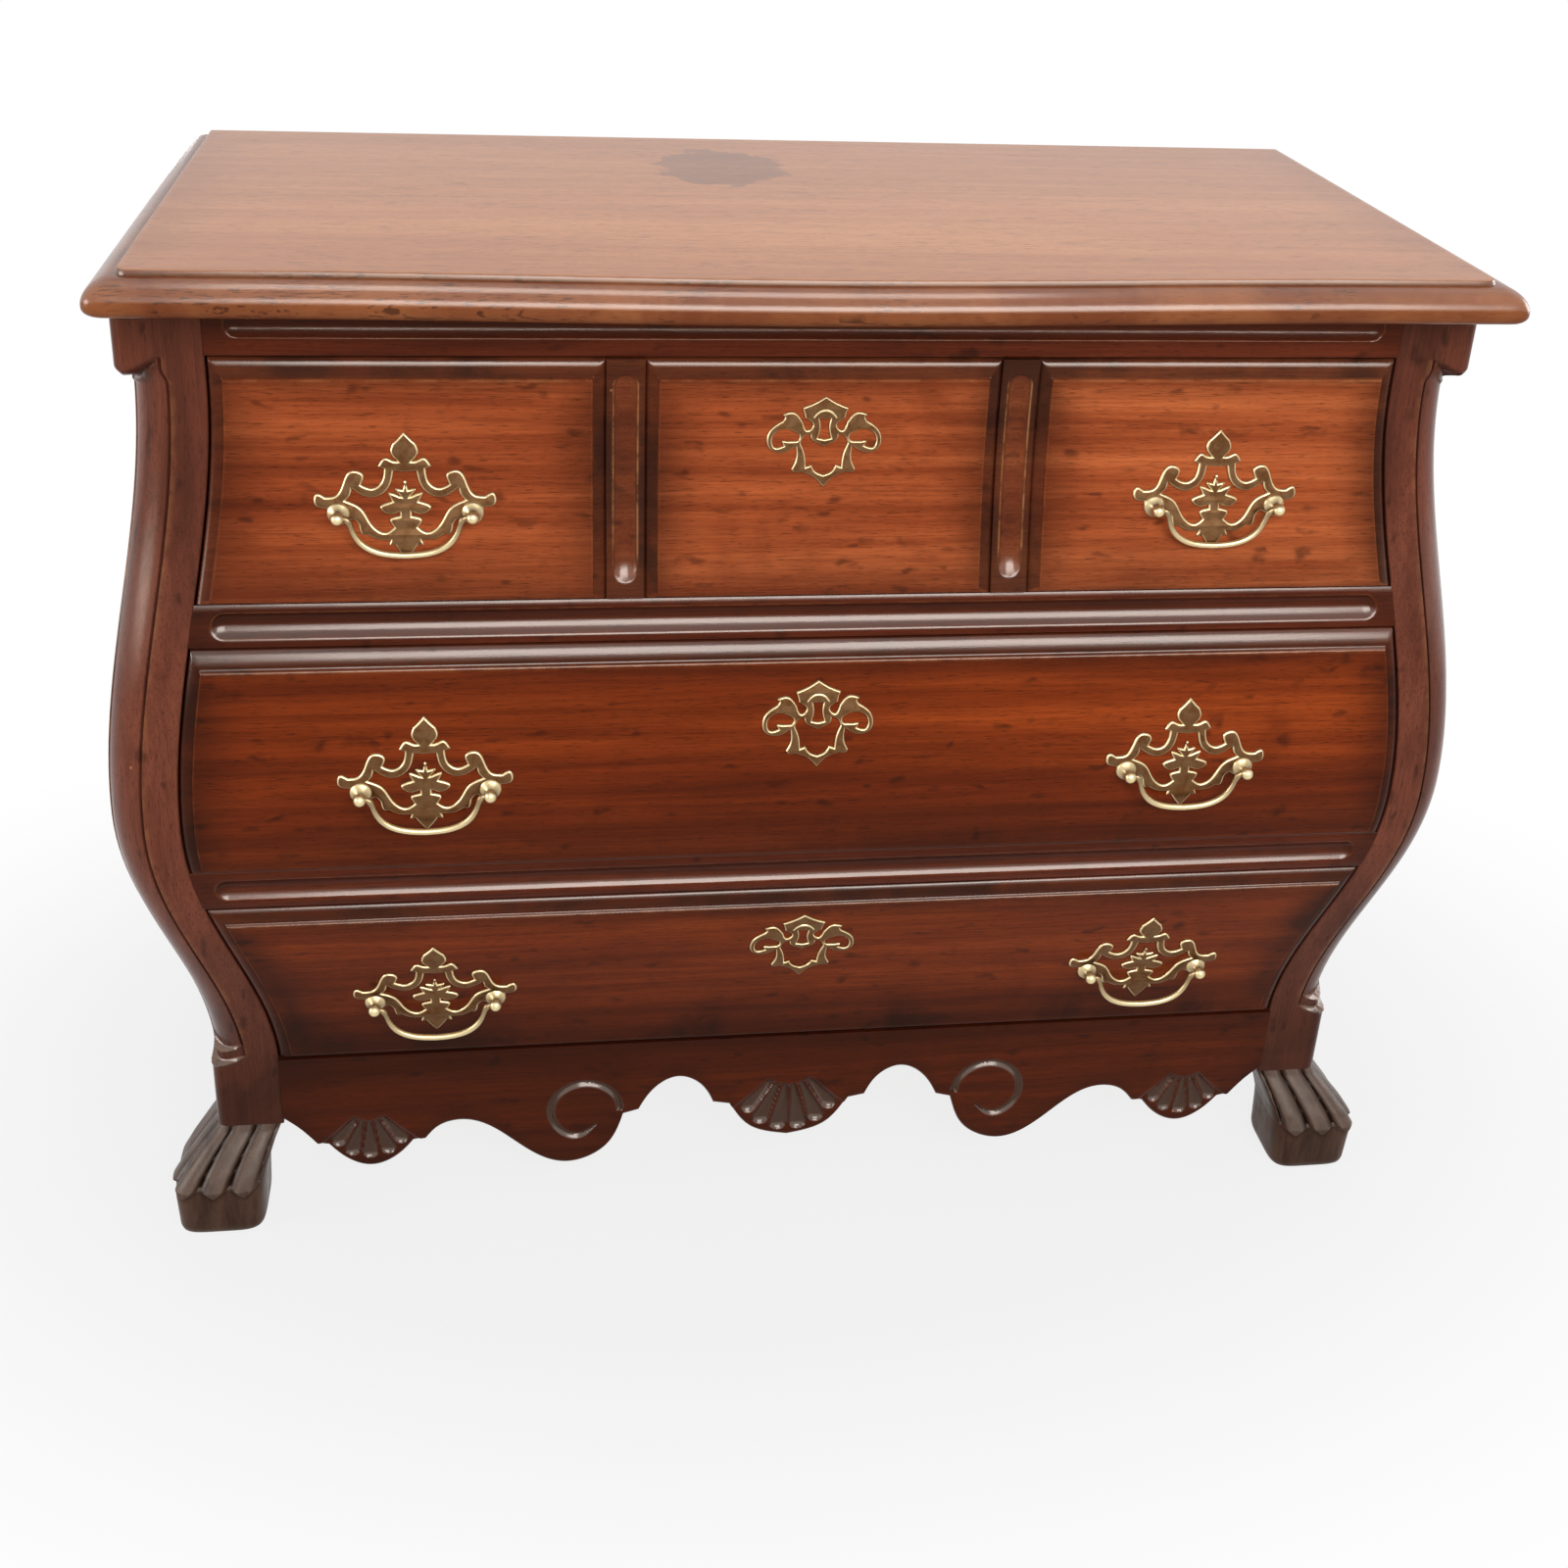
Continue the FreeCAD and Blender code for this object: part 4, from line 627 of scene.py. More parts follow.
def corner_post():
    """The left front post: one section for each level, blended between the square section of the leg and
    the cap and the section of the shaft, which has a flat stile, a double groove, a rounded pilaster and
    a second groove. The pilaster ends below in two steps with curved edges."""
    front_run = [(0, 0.8), (0.8, 0), (6, 0), (14, 0), (22, 0), (26.4, 0), (27, 0.3), (27.5, 1.8),
                 (28.2, 2.2), (28.9, 0.9), (29.5, 2.2)]
    turn = np.linspace(0, 1, 22)
    chord = POST_WIDTH - 2 - PILASTER_START
    bulge = PILASTER_BULGE * 4 * turn * (1 - turn) / math.sqrt(2)
    arc = np.stack([PILASTER_START + chord * turn + bulge,
                    PILASTER_DROP + (PILASTER_REACH - PILASTER_DROP) * turn - bulge], axis=1)
    groove = [(POST_WIDTH - 2.2, 28.6), (POST_WIDTH - 2.2, 30.2), (POST_WIDTH - 0.4, 31),
              (POST_WIDTH, 31.6)]
    shaft = np.concatenate([front_run, arc, groove])
    bend = np.linspace(0, np.pi / 2, 10)
    rounded = np.column_stack([POST_WIDTH - CORNER_ROUND * (1 - np.sin(bend)),
                               CORNER_ROUND * (1 - np.cos(bend))])
    around = np.concatenate([[(PILASTER_START, 0)], rounded, [(POST_WIDTH, PILASTER_REACH)]])
    length = np.concatenate([[0], np.cumsum(np.linalg.norm(np.diff(around, axis=0), axis=1))])
    square_turn = np.column_stack([np.interp(turn * length[-1], length, line) for line in around.T])
    square = np.concatenate([front_run[:1], [(across, 0) for across, deep in front_run[1:]], square_turn,
                             [(POST_WIDTH, deep) for across, deep in groove]])
    low, high = (corner[2] for corner in node_box("left_front_post"))
    level = joined(np.linspace(low, high, 70), TONGUE_STATIONS, CAP_STATIONS)[:, None]
    share = np.concatenate([np.zeros(len(front_run)), turn, np.ones(len(groove))])
    below = [centre - TONGUE_SAG * 4 * share * (1 - share) - level for centre in TONGUE_LEVELS]
    steps = [ease(drop / 2.2 + 0.5) for drop in below]
    cap_edge = CAP_LEVEL + CAP_RISE * (1 - share) ** 2
    crown = ease((level - cap_edge) / 2)
    blend = np.maximum(0.45 * steps[0] + 0.55 * steps[1], crown)
    across = shaft[:, 0] * (1 - blend) + square[:, 0] * blend
    deep = shaft[:, 1] * (1 - blend) + square[:, 1] * blend
    flare = ease((level - CAP_LEVEL) / CAP_SLOPE)
    ring = 1.2 * np.sqrt(np.clip(1 - ((level - cap_edge + RING_DROP) / (RING_HEIGHT / 2)) ** 2, 0, 1))
    ring = ring * ease((shaft[:, 0] - 29) / 3)
    tongue = sum(bump(drop, 0, 1.8) for drop in below)
    tongue = np.clip(tongue, 0, 1) * ease(share / 0.12) * ease((0.92 - share) / 0.25)
    ring = ring + 1.4 * tongue
    lean = np.pi / 2 * share
    across = across * (1 + flare * CAP_PROJECTION / POST_WIDTH) + ring * np.sin(lean)
    deep = deep - ring * np.cos(lean)
    x = -edge_x(level) - across
    y = face_y(level) + FRAME_DROP + deep
    rows = len(level)
    back = np.full((rows, 1), FRAME_BACK)
    mid_side = (y[:, -1:] + back) / 2
    loops = np.stack([np.hstack([x, x[:, -1:], x[:, -1:], x[:, :1]]), np.hstack([y, mid_side, back, back]),
                      np.broadcast_to(level, (rows, x.shape[1] + 3))], axis=2)
    shaft_share = 1 - blend
    groove_line = bump(shaft[:, 0], 28.2, 1.2) + (share >= 1) * 0.7
    glaze = 0.3 + 0.45 * groove_line * shaft_share + 0.5 * bump(level, cap_edge - 2, 5) * (share > 0)
    # Painted shade: darker towards the floor.
    glaze = glaze + 0.55 * (1 - ease((level - low) / 240))
    outer_arris = np.zeros(len(share))
    outer_arris[-2] = 0.3
    wear = 0.2 * tongue + (0.3 * bump(shaft[:, 0], 26.7, 0.5) + outer_arris) * shaft_share + 0 * x
    carved = 0.08 + 0.85 * tongue + 0 * x
    side = np.broadcast_to((0.45, 0.0, 0.05), (rows, 3, 3))
    shade = np.concatenate([np.dstack([glaze + 0 * x, wear, carved]), side], axis=1)
    piece = Piece().add(loops, skin(rows, loops.shape[1]), shade, flip=True)
    other = piece.mirrored()
    piece.make("left_carved_post", "case", "post", "left_front_post")
    other.make("right_carved_post", "case", "post", "right_front_post")


# Apron

APRON_FRONT = node_box("apron")[0][1]
SCROLL_PLACE, SCROLL_LEVEL, SCROLL_RADIUS = 187, 97, 30
SHELL_LEVEL, SHELL_INNER, SHELL_REACH = 142, 26, 80
SIDE_SHELL_PLACE, SIDE_SHELL_LEVEL, SIDE_SHELL_INNER, SIDE_SHELL_REACH = 378, 118, 18, 62
SHELL_LEANS = (-36.5, -21.9, -7.3, 7.3, 21.9, 36.5)
SIDE_SHELL_LEANS = (-34, -17, 0, 17, 34)
SHELL_SPREAD, FAN_DEPTH, RAY_DEPTH = 46, 1.4, 4.6
SCROLL_SWEEP, SCROLL_HALF, SCROLL_DEPTH = 305, 4.2, 3.0
BRACKET_LEVEL = 106
RIDGE_HALF = 1.1
# Runs of the lower edge, across and up from the hub of a shell or the centre of a scroll
BRACKET = [(62, -23), (46, -43)]
SIDE_LOBE = [(36, -45), (24, -59), (0, -71), (-25, -60), (-38, -45)]
SIDE_COVE = [(-49, -43), (-62, -29), (-82, -24)]
SCROLL_LOBE = [(56, -37), (16, -58), (-19, -42), (-35, -6)]
ARCH = [(-49, -2), (-63, 21), (-85, 33)]
SHELL_ARCH = [(81, -23), (70, -43)]
SHELL_LOBE = [(55, -46), (34, -75), (0, -86)]


def smooth_run(points, step):
    """Natural cubic spline through points by chord length, sampled about every step."""
    points = np.asarray(points, float)
    gaps = np.linalg.norm(np.diff(points, axis=0), axis=1)
    at = np.concatenate([[0], np.cumsum(gaps)])
    along = np.linspace(0, at[-1], max(2, math.ceil(at[-1] / step) + 1))
    system = np.diag(np.r_[1, 2 * (gaps[:-1] + gaps[1:]), 1])
    system = system + np.diag(np.r_[gaps[:-1], 0], -1) + np.diag(np.r_[0, gaps[1:]], 1)
    slopes = np.diff(points, axis=0) / gaps[:, None]
    bends = np.linalg.solve(system, np.vstack([np.zeros(2), 6 * np.diff(slopes, axis=0), np.zeros(2)]))
    index = np.clip(np.searchsorted(at, along, side="right") - 1, 0, len(gaps) - 1)
    gap = gaps[index][:, None]
    before = (at[index + 1] - along)[:, None]
    after = (along - at[index])[:, None]
    curve = (bends[index] * before ** 3 + bends[index + 1] * after ** 3) / (6 * gap)
    curve = curve + (points[index] / gap - bends[index] * gap / 6) * before
    return curve + (points[index + 1] / gap - bends[index + 1] * gap / 6) * after


def chained(runs, step):
    """Smooth runs as one line, with a corner where each goes on from the last point of the one before."""
    whole = [runs[0]] + [[before[-1], *run] for before, run in zip(runs, runs[1:])]
    return np.concatenate([smooth_run(run, step)[:-1] for run in whole] + [[runs[-1][-1]]])


def apron_edge():
    """Lower edge of the apron's right half, from the post to the middle."""
    def around(centre, run):
        return [(centre[0] + across, centre[1] + up) for across, up in run]

    side = (SIDE_SHELL_PLACE, SIDE_SHELL_LEVEL)
    scroll = (SCROLL_PLACE, SCROLL_LEVEL)
    shell = (0, SHELL_LEVEL)
    curves = [[(ANKLE_HALF - 0.1, BRACKET_LEVEL)] + around(side, BRACKET), around(side, SIDE_LOBE),
              around(side, SIDE_COVE) + around(scroll, SCROLL_LOBE),
              around(scroll, ARCH) + around(shell, SHELL_ARCH), around(shell, SHELL_LOBE)]
    runs = curves[:1]
    for curve in curves[1:]:
        runs += [curve[:1], curve[1:]]
    return chained(runs, 1.4)


def shell_depth(x, z, hub, inner, reach, leans):
    """Depth of a carved shell: a fan sunk a little below an arc about its hub, with scooped flutes along
    its rays that widen outwards and end round. Also gives how far into a flute each point lies."""
    across = x - hub[0]
    down = hub[1] - z
    radius = np.hypot(across, down)
    angle = np.arctan2(across, down)
    from_side = (math.radians(SHELL_SPREAD) - np.abs(angle)) * radius
    fan = ease((radius - inner) / 1.6) * ease(from_side / 1.6)
    step = math.radians(leans[1] - leans[0])
    wide = reach * step / 2 - RIDGE_HALF
    flutes = np.zeros_like(x)
    for lean in np.radians(leans):
        end = reach * math.cos(lean) ** 0.6
        half = np.maximum(radius * step / 2 - RIDGE_HALF, 0.5)
        aside = radius * np.sin(angle - lean)
        beyond = np.maximum(0, radius - end + wide)
        inside = np.clip(1 - (aside / half) ** 2 - (beyond / wide) ** 2, 0, 1)
        ahead = np.cos(angle - lean) > 0
        flutes = np.maximum(flutes, np.sqrt(inside) * ease((radius - inner) / 8) * ahead)
    return FAN_DEPTH * fan + RAY_DEPTH * reach / SHELL_REACH * flutes * fan, flutes * fan


def scroll_depth(x, z, centre_x, way):
    """Depth of a scroll: a soft groove round a spiral that starts at its outer side and closes in. Also
    gives how far into the groove each point lies."""
    across = (x - centre_x) * way
    up = z - SCROLL_LEVEL
    turn = np.mod(np.arctan2(up, across), 2 * np.pi)
    share = turn / math.radians(SCROLL_SWEEP)
    radius = SCROLL_RADIUS + 2 - 3 * share - 10 * ease((share - 0.8) / 0.2) * (share < 1.2)
    half = SCROLL_HALF * (1 - 0.8 * ease((share - 0.82) / 0.18)) * (share <= 1)
    side = (np.hypot(across, up) - radius) / np.maximum(half, 0.01)
    inside = (1 + np.cos(np.pi * np.clip(side, -1, 1))) / 2
    return SCROLL_DEPTH * inside, ease((1 - np.abs(side)) / 0.35)


def carved_apron():
    """The apron: one closed loop of front, top, back and underside for each station along its lower edge,
    with shells and scrolls sunk in the front."""
    half = apron_edge()
    edge = np.concatenate([half * (-1, 1), half[-2::-1]])
    back, crown = node_box("apron")[1][1:]
    share = np.concatenate([np.array([0, 0.25, 0.7, 1.4]) / 100, np.linspace(0.022, 1, 98)])
    z = edge[:, 1:] + (crown - edge[:, 1:]) * share
    x = np.broadcast_to(edge[:, :1], z.shape)
    depth, flutes = shell_depth(x, z, (0, SHELL_LEVEL), SHELL_INNER, SHELL_REACH, SHELL_LEANS)
    rings = np.zeros_like(x)
    for way in (-1, 1):
        more, inside = shell_depth(x, z, (way * SIDE_SHELL_PLACE, SIDE_SHELL_LEVEL), SIDE_SHELL_INNER,
                                   SIDE_SHELL_REACH, SIDE_SHELL_LEANS)
        depth, flutes = depth + more, np.maximum(flutes, inside)
        more, inside = scroll_depth(x, z, way * SCROLL_PLACE, -way)
        depth, rings = depth + more, np.maximum(rings, inside)
    above = z - edge[:, 1:]
    depth = depth + 1.6 * (1 - ease(above / 2.2))
    glaze = 0.12 + 0.3 * (1 - ease(above / 26)) + 0.35 * (1 - ease((crown - z) / 26))
    glaze = np.clip(glaze + 0.25 * (1 - ease((ANKLE_HALF - np.abs(x)) / 60)), 0, 0.95)
    wear = 0.12 * bump(above, 1.2, 1)
    carved = np.clip(0.9 * ease(flutes * 2.5) + rings, 0, 0.95)
    y = APRON_FRONT + depth
    stations = len(edge)
    loops = np.stack([np.hstack([x[:, ::-1], x[:, :2]]),
                      np.hstack([y[:, ::-1], np.full((stations, 2), back)]),
                      np.hstack([z[:, ::-1], z[:, :1], np.full((stations, 1), crown)])], axis=2)
    shade = np.dstack([glaze, wear, carved])[:, ::-1]
    shade = np.concatenate([shade, np.broadcast_to((0.5, 0, 0.4), (stations, 2, 3))], axis=1)
    piece = Piece().add(loops, skin(stations, loops.shape[1]), shade)
    piece.make("carved_apron", "case", "apron", "apron", sharp=42)


# Paw feet

FOOT_HEIGHT = node_box("left_front_foot")[1][2]
FOOT_SPLAY, FOOT_REACH = 28, 25
TOES, CLAW_OVERHANG, TOE_TURN = 4, 3.6, 0.03
KNUCKLE_LEVEL, KNUCKLE_DIP = 52, 20
# Shares of the way round a paw between which its toes lie, and points round it
TOE_START, TOE_END, PAW_COLUMNS = 0.36, 0.735, 300


def paw_foot():
    """The left paw foot: closed loops from the floor up to the leg. Each is a rounded rectangle resampled
    by its length, and the toes are rounded ridges with sharp creases between them along the stretch from
    the inner front corner round to the outer side. The paw overhangs a plain pad."""
    ankle_x = -(edge_x(FOOT_HEIGHT) + POST_WIDTH / 2)
    ankle_front = face_y(FOOT_HEIGHT) + FRAME_DROP
    ankle_y = (ankle_front + FRAME_BACK) / 2
    stations = np.array([
        # level, share of the lean, half width, half depth
        (0, 1.0, 31.5, 31.5),
        (1.5, 1.0, 34.5, 34.5),
        (4, 1.0, 36.6, 36.6),
        (8, 1.0, 37.6, 37.6),
        (38, 1.0, 39, 38.4),
        (50, 0.97, 38.8, 38.2),
        (62, 0.78, 36, 37.2),
        (80, 0.4, 31.8, 35.4),
        (92, 0.1, 29.3, 34.1),
        (FOOT_HEIGHT, 0.0, 29, 34),
    ])
    level = joined(np.linspace(0, 9, 8), np.linspace(9, 36, 10), np.linspace(36, 56, 34),
                   np.linspace(56, FOOT_HEIGHT, 30))
    lean, half_width, half_depth = (np.interp(level, stations[:, 0], stations[:, column])[:, None]
                                    for column in (1, 2, 3))
    bearing = np.linspace(0, 2 * np.pi, 721)[:-1] + 0.25 * np.pi
    round_power = 2 / 5
    unit_x = np.sign(np.cos(bearing)) * np.abs(np.cos(bearing)) ** round_power
    unit_y = np.sign(np.sin(bearing)) * np.abs(np.sin(bearing)) ** round_power
    dense = np.stack([half_width * unit_x, half_depth * unit_y], axis=2)
    closed = np.concatenate([dense, dense[:, :1]], axis=1)
    length = np.concatenate([np.zeros((len(level), 1)),
                             np.cumsum(np.linalg.norm(np.diff(closed, axis=1), axis=2), axis=1)], axis=1)
    share = np.arange(PAW_COLUMNS) / PAW_COLUMNS
    even = np.array([[np.interp(share * row[-1], row, line[:, axis]) for axis in (0, 1)]
                     for row, line in zip(length, closed)]).transpose(0, 2, 1)
    ahead = np.roll(even, -1, axis=1) - np.roll(even, 1, axis=1)
    outward = np.stack([ahead[..., 1], -ahead[..., 0]], axis=2)
    outward = outward / np.linalg.norm(outward, axis=2, keepdims=True)
    height = level[:, None]
    toe = (share - TOE_START - TOE_TURN * (1 - height / FOOT_HEIGHT)) / (TOE_END - TOE_START) * TOES
    on_toes = ease((toe + 0.1) / 0.1) * ease((TOES + 0.1 - toe) / 0.1)
    phase = np.abs(toe - np.round(toe))
    knuckle = KNUCKLE_LEVEL - KNUCKLE_DIP * phase
    claw = ease((height - knuckle) / 2.5)
    groove = (1 - np.clip(1 - (1 - 2 * phase) ** 2.6, 0, 1) ** 0.6) * on_toes
    rise = CLAW_OVERHANG * ease((FOOT_HEIGHT - height) / 50) * claw * on_toes
    deep = (4 + 2.6 * ease((92 - height) / 40)) * groove * claw
    local = even + outward * (rise - deep)[..., None]
    x = ankle_x - FOOT_SPLAY * lean + local[..., 0]
    y = ankle_y - FOOT_REACH * lean + local[..., 1]
    loops = np.dstack([x, y, np.broadcast_to(height, x.shape)])
    # Glaze in the creases between the toes, and a dark band just under the claw tips: painted shadow.
    hollow = ease(groove * 1.3) * claw + 0.5 * bump(height - knuckle, -1.5, 2.5) * on_toes
    wear = claw * on_toes * (0.35 * ease((phase - 0.16) / 0.2) + 0.4 * bump(phase, 0.26, 0.07))
    wear = wear + 0.35 * bump(height, 4, 4)
    shade = np.dstack([np.clip(hollow, 0, 1), np.clip(wear, 0, 1), 0 * x])
    piece = Piece().add(loops, skin(len(level), PAW_COLUMNS), shade)
    other = piece.mirrored()
    piece.make("left_carved_paw", "case", "carving", "left_front_foot")
    other.make("right_carved_paw", "case", "carving", "right_front_foot")


# Top board

TOP_BOW, BOW_HALF, TOP_CORNER = 13, 420, 12
NOSE_ACROSS, NOSE_DROP, UNDER_ROUND, EDGE_WIDTH, EDGE_STEP = 20.4, 18, 7, 22, 4
TOP_STATIONS = 150
FIELD_INSETS = (27, 36, 52, 76, 110, 150, 190, 222)


def top_path(inset):
    """Edge of the top from its back left corner round the front to its back right corner: straight ends,
    rounded corners and a cosine bow in the front, moved in by an inset."""
    low, high = node_box("top_board")
    half = high[0] - inset
    front = low[1] + TOP_BOW + inset
    bend = np.linspace(0, np.pi / 2, 9)
    ends = np.linspace(high[1], front + TOP_CORNER, 16)
    left = np.column_stack([np.full_like(ends, -half), ends])
    corner = np.stack([-half + TOP_CORNER * (1 - np.cos(bend)),
                       front + TOP_CORNER * (1 - np.sin(bend))], axis=1)
    x = np.linspace(TOP_CORNER - half, half - TOP_CORNER, TOP_STATIONS)
    bow = TOP_BOW * (1 + np.cos(np.pi * np.clip(x / BOW_HALF, -1, 1))) / 2
    side = np.concatenate([left, corner[1:]])
    return np.concatenate([side, np.stack([x, front - bow], axis=1)[1:-1], side[::-1] * (-1, 1)])


def moulded_top():
    """The top board: a nosed edge profile carried along the path of its ends and front, then loops across
    the flat field, closed by flat faces below, above and along the back."""
    low, high = node_box("top_board")
    thick = high[2] - low[2]
    under = np.linspace(0, np.pi / 2, 7)
    nose = np.linspace(0, np.pi / 2, 14)
    profile = np.concatenate([
        [(26, -thick)],
        np.stack([UNDER_ROUND * (1 - np.sin(under)), UNDER_ROUND * (1 - np.cos(under)) - thick], axis=1),
        np.stack([NOSE_ACROSS * (1 - np.cos(nose)), NOSE_DROP * (np.sin(nose) - 1) - EDGE_STEP], axis=1),
        [(EDGE_WIDTH - 1.4, -EDGE_STEP), (EDGE_WIDTH - 0.7, -EDGE_STEP + 0.2), (EDGE_WIDTH, -1.0),
         (EDGE_WIDTH + 0.4, -0.3), (EDGE_WIDTH + 1.3, 0)],
        [(inset, 0) for inset in FIELD_INSETS]])
    rows = []
    for inset, up in profile:
        path = top_path(inset)
        rows.append(np.column_stack([path, np.full(len(path), high[2] + up)]))
    rows = np.stack(rows)
    count, columns = rows.shape[:2]
    from_edge = profile[:, :1] + np.zeros((1, columns))
    from_back = high[1] - rows[..., 1]
    glaze = np.where(from_edge > EDGE_WIDTH + 1, 0.3 * (1 - ease((from_edge - EDGE_WIDTH) / 70)), 0.9)
    glaze = np.maximum(glaze, 0.2 * (1 - ease(from_back / 90)) * (from_edge > EDGE_WIDTH))
    # A dark line along the step at the field's edge: painted shadow, in glaze and carved tone.
    step_row = bump(profile[:, :1], EDGE_WIDTH - 0.6, 0.8)
    glaze = np.clip(glaze + 0.5 * step_row, 0, 0.95)
    # A faint pale band across the nose: painted highlight; the one along the field's edge is a rubbed arris.
    wear = 0.25 * bump(from_edge, EDGE_WIDTH + 1.0, 0.7) + 0.1 * bump(profile[:, 1:], -10, 3)
    carved = np.where(from_edge > EDGE_WIDTH + 1, 0.0, 0.08) + 0.6 * step_row
    ring = np.arange(columns)
    last = (count - 1) * columns
    side = np.arange(count) * columns
    faces = [weave(count, columns, False), ring[::-1][None, :], (ring + last)[None, :],
             np.concatenate([side, side[::-1] + columns - 1])[None, :]]
    piece = Piece().add(rows, faces, np.dstack([glaze, wear, carved]))
    piece.make("moulded_top", "case", "top", "top_board", sharp=30)


# Brass

# Outlines of the brass as smooth runs, each going on from the corner before. All but the scroll's window
# are right halves, from the upright middle line round to that line again.
PLATE_EDGE = [
    [(0, 63), (4.5, 58), (8.7, 54)],
    [(10.6, 47.4), (5.5, 40)],
    [(9.5, 40.8), (14, 42.8), (20.3, 35.8)],
    [(15.8, 34.1)],
    [(19.2, 22.4), (24.9, 19.3), (33.2, 22)],
    [(31.5, 29.8), (39.8, 32.9), (46.8, 23.7), (52.8, 13.7), (60.6, 12.6)],
    [(67, 15.1), (68.8, 7.1), (59.4, 3.6)],
    [(59, -4), (51, -9.5), (44, -7)],
    [(40, -5), (36, -9)],
    [(32.5, -17), (29.5, -16.5)],
    [(22, -20.5), (12, -21)],
    [(13, -25), (9, -24.5)],
    [(6, -29), (0, -36)],
]
PLATE_WINDOW = [
    [(0, 31.7), (8.5, 32.4)],
    [(13.2, 18.4), (25.5, 11.8), (40.3, 18.7)],
    [(41.6, 13.7), (45, 9.8)],
    [(33.8, 3.8), (24, -11), (15.5, -15), (9.4, -11.4)],
    [(12.2, -5.4), (4.6, -2.4)],
    [(4.7, 0.6)],
    [(14, -1), (19.5, 3.9), (10.4, 9)],
    [(13.1, 15.4), (3.5, 12.5)],
    [(8, 18.8), (2.2, 18)],
    [(0, 25.4)],
]
ESCUTCHEON_EDGE = [
    [(0, 36), (10, 30), (18.6, 26.6)],
    [(17, 22.5), (16, 18)],
    [(9.8, 11.5), (13.5, 8.3), (17.5, 15)],
    [(25.5, 23), (34, 21.2)],
    [(32, 19), (33.7, 16)],
    [(44.2, 6.9), (43.9, -6.2), (32.5, -9.9), (22.7, -4.6)],
    [(22.5, -16), (25.8, -23)],
    [(24, -25.6), (18.5, -25.5)],
    [(8, -29.6), (0, -37.8)],
]
SCROLL_WINDOW = [
    [(20.4, 4.8), (31.6, 9.2), (40.8, 3.3), (39.3, -5.4), (32.3, -4.2)],
    [(33.8, -0.5), (29, -0.6)],
    [(22, -0.4)],
    [(20.2, 1.2), (20.4, 4.8)],
]
SHIELD_WINDOW = [
    [(0, -5), (6, -2.2), (11, 2), (11.4, 5)],
    [(16, 3.4), (18.6, -2.3)],
    [(15.3, -11), (14, -21.2)],
    [(9.7, -19.5)],
    [(7.2, -24), (0, -27.7)],
]
KEYHOLE = [[(0, 17.5), (4.3, 17.5)], [(3.2, 11.5), (5, 2)], [(0, 1)]]
BONNET = [(-9, 18.5), (-5.5, 22.6), (0, 24.5), (5.5, 22.6), (9, 18.5)]
# Bevel of a plate's edge: share of the rim's width in from the outline and height above the wood
BEVEL_TURN = np.linspace(0, np.pi / 2, 6)
BEVEL = np.vstack([[(0, 0.05)],
                   np.column_stack([1 - np.cos(BEVEL_TURN), 0.6 + 1.85 * np.sin(BEVEL_TURN)])])
# Patina across a rim from the wood to the flat: the bright crown of the bevel and the dark flat are partly painted
# reflection.
RIM_PATINA_AND_REFLECTION = np.array([0.9, 0.5, 0.15, 0.0, 0.0, 0.3, 1.0])
POST_SPACING, KNOB_RADIUS, FLANGE_RADIUS = 102, 5.2, 8.4
PLATE_THICKNESS, PLATE_RIM, ESCUTCHEON_RIM = 2.5, 1.7, 1.3


def whole_outline(half):
    """A half outline and its mirror image as one loop, clockwise as seen from the front."""
    right = chained(half, 0.7)
    return np.concatenate([right, right[-2:0:-1] * (-1, 1)])


def offset_loop(loop, distance):
    """A closed loop moved to the right of its travel, along the mitre of its neighbouring edges."""
    before = loop - np.roll(loop, 1, axis=0)
    after = np.roll(loop, -1, axis=0) - loop
    normals = []
    for way in (before, after):
        way = way / np.linalg.norm(way, axis=1, keepdims=True)
        normals.append(np.stack([way[:, 1], -way[:, 0]], axis=1))
    mitre = normals[0] + normals[1]
    mitre = mitre / np.maximum(np.linalg.norm(mitre, axis=1, keepdims=True), 1e-6)
    stretch = np.maximum(np.sum(mitre * normals[1], axis=1, keepdims=True), 0.55)
    return loop + mitre * distance / stretch


def laid_on_front(flat, height, centre_x, level):
    """Lays points of a flat drawing on the swelled front, raised by a height."""
    z = level + flat[..., 1]
    return np.stack([centre_x + flat[..., 0], face_y(z) - height, z], axis=-1)


def tarnished(patina):
    """The shade of brass points from their patina."""
    return np.dstack([patina, 0 * patina, 0 * patina])


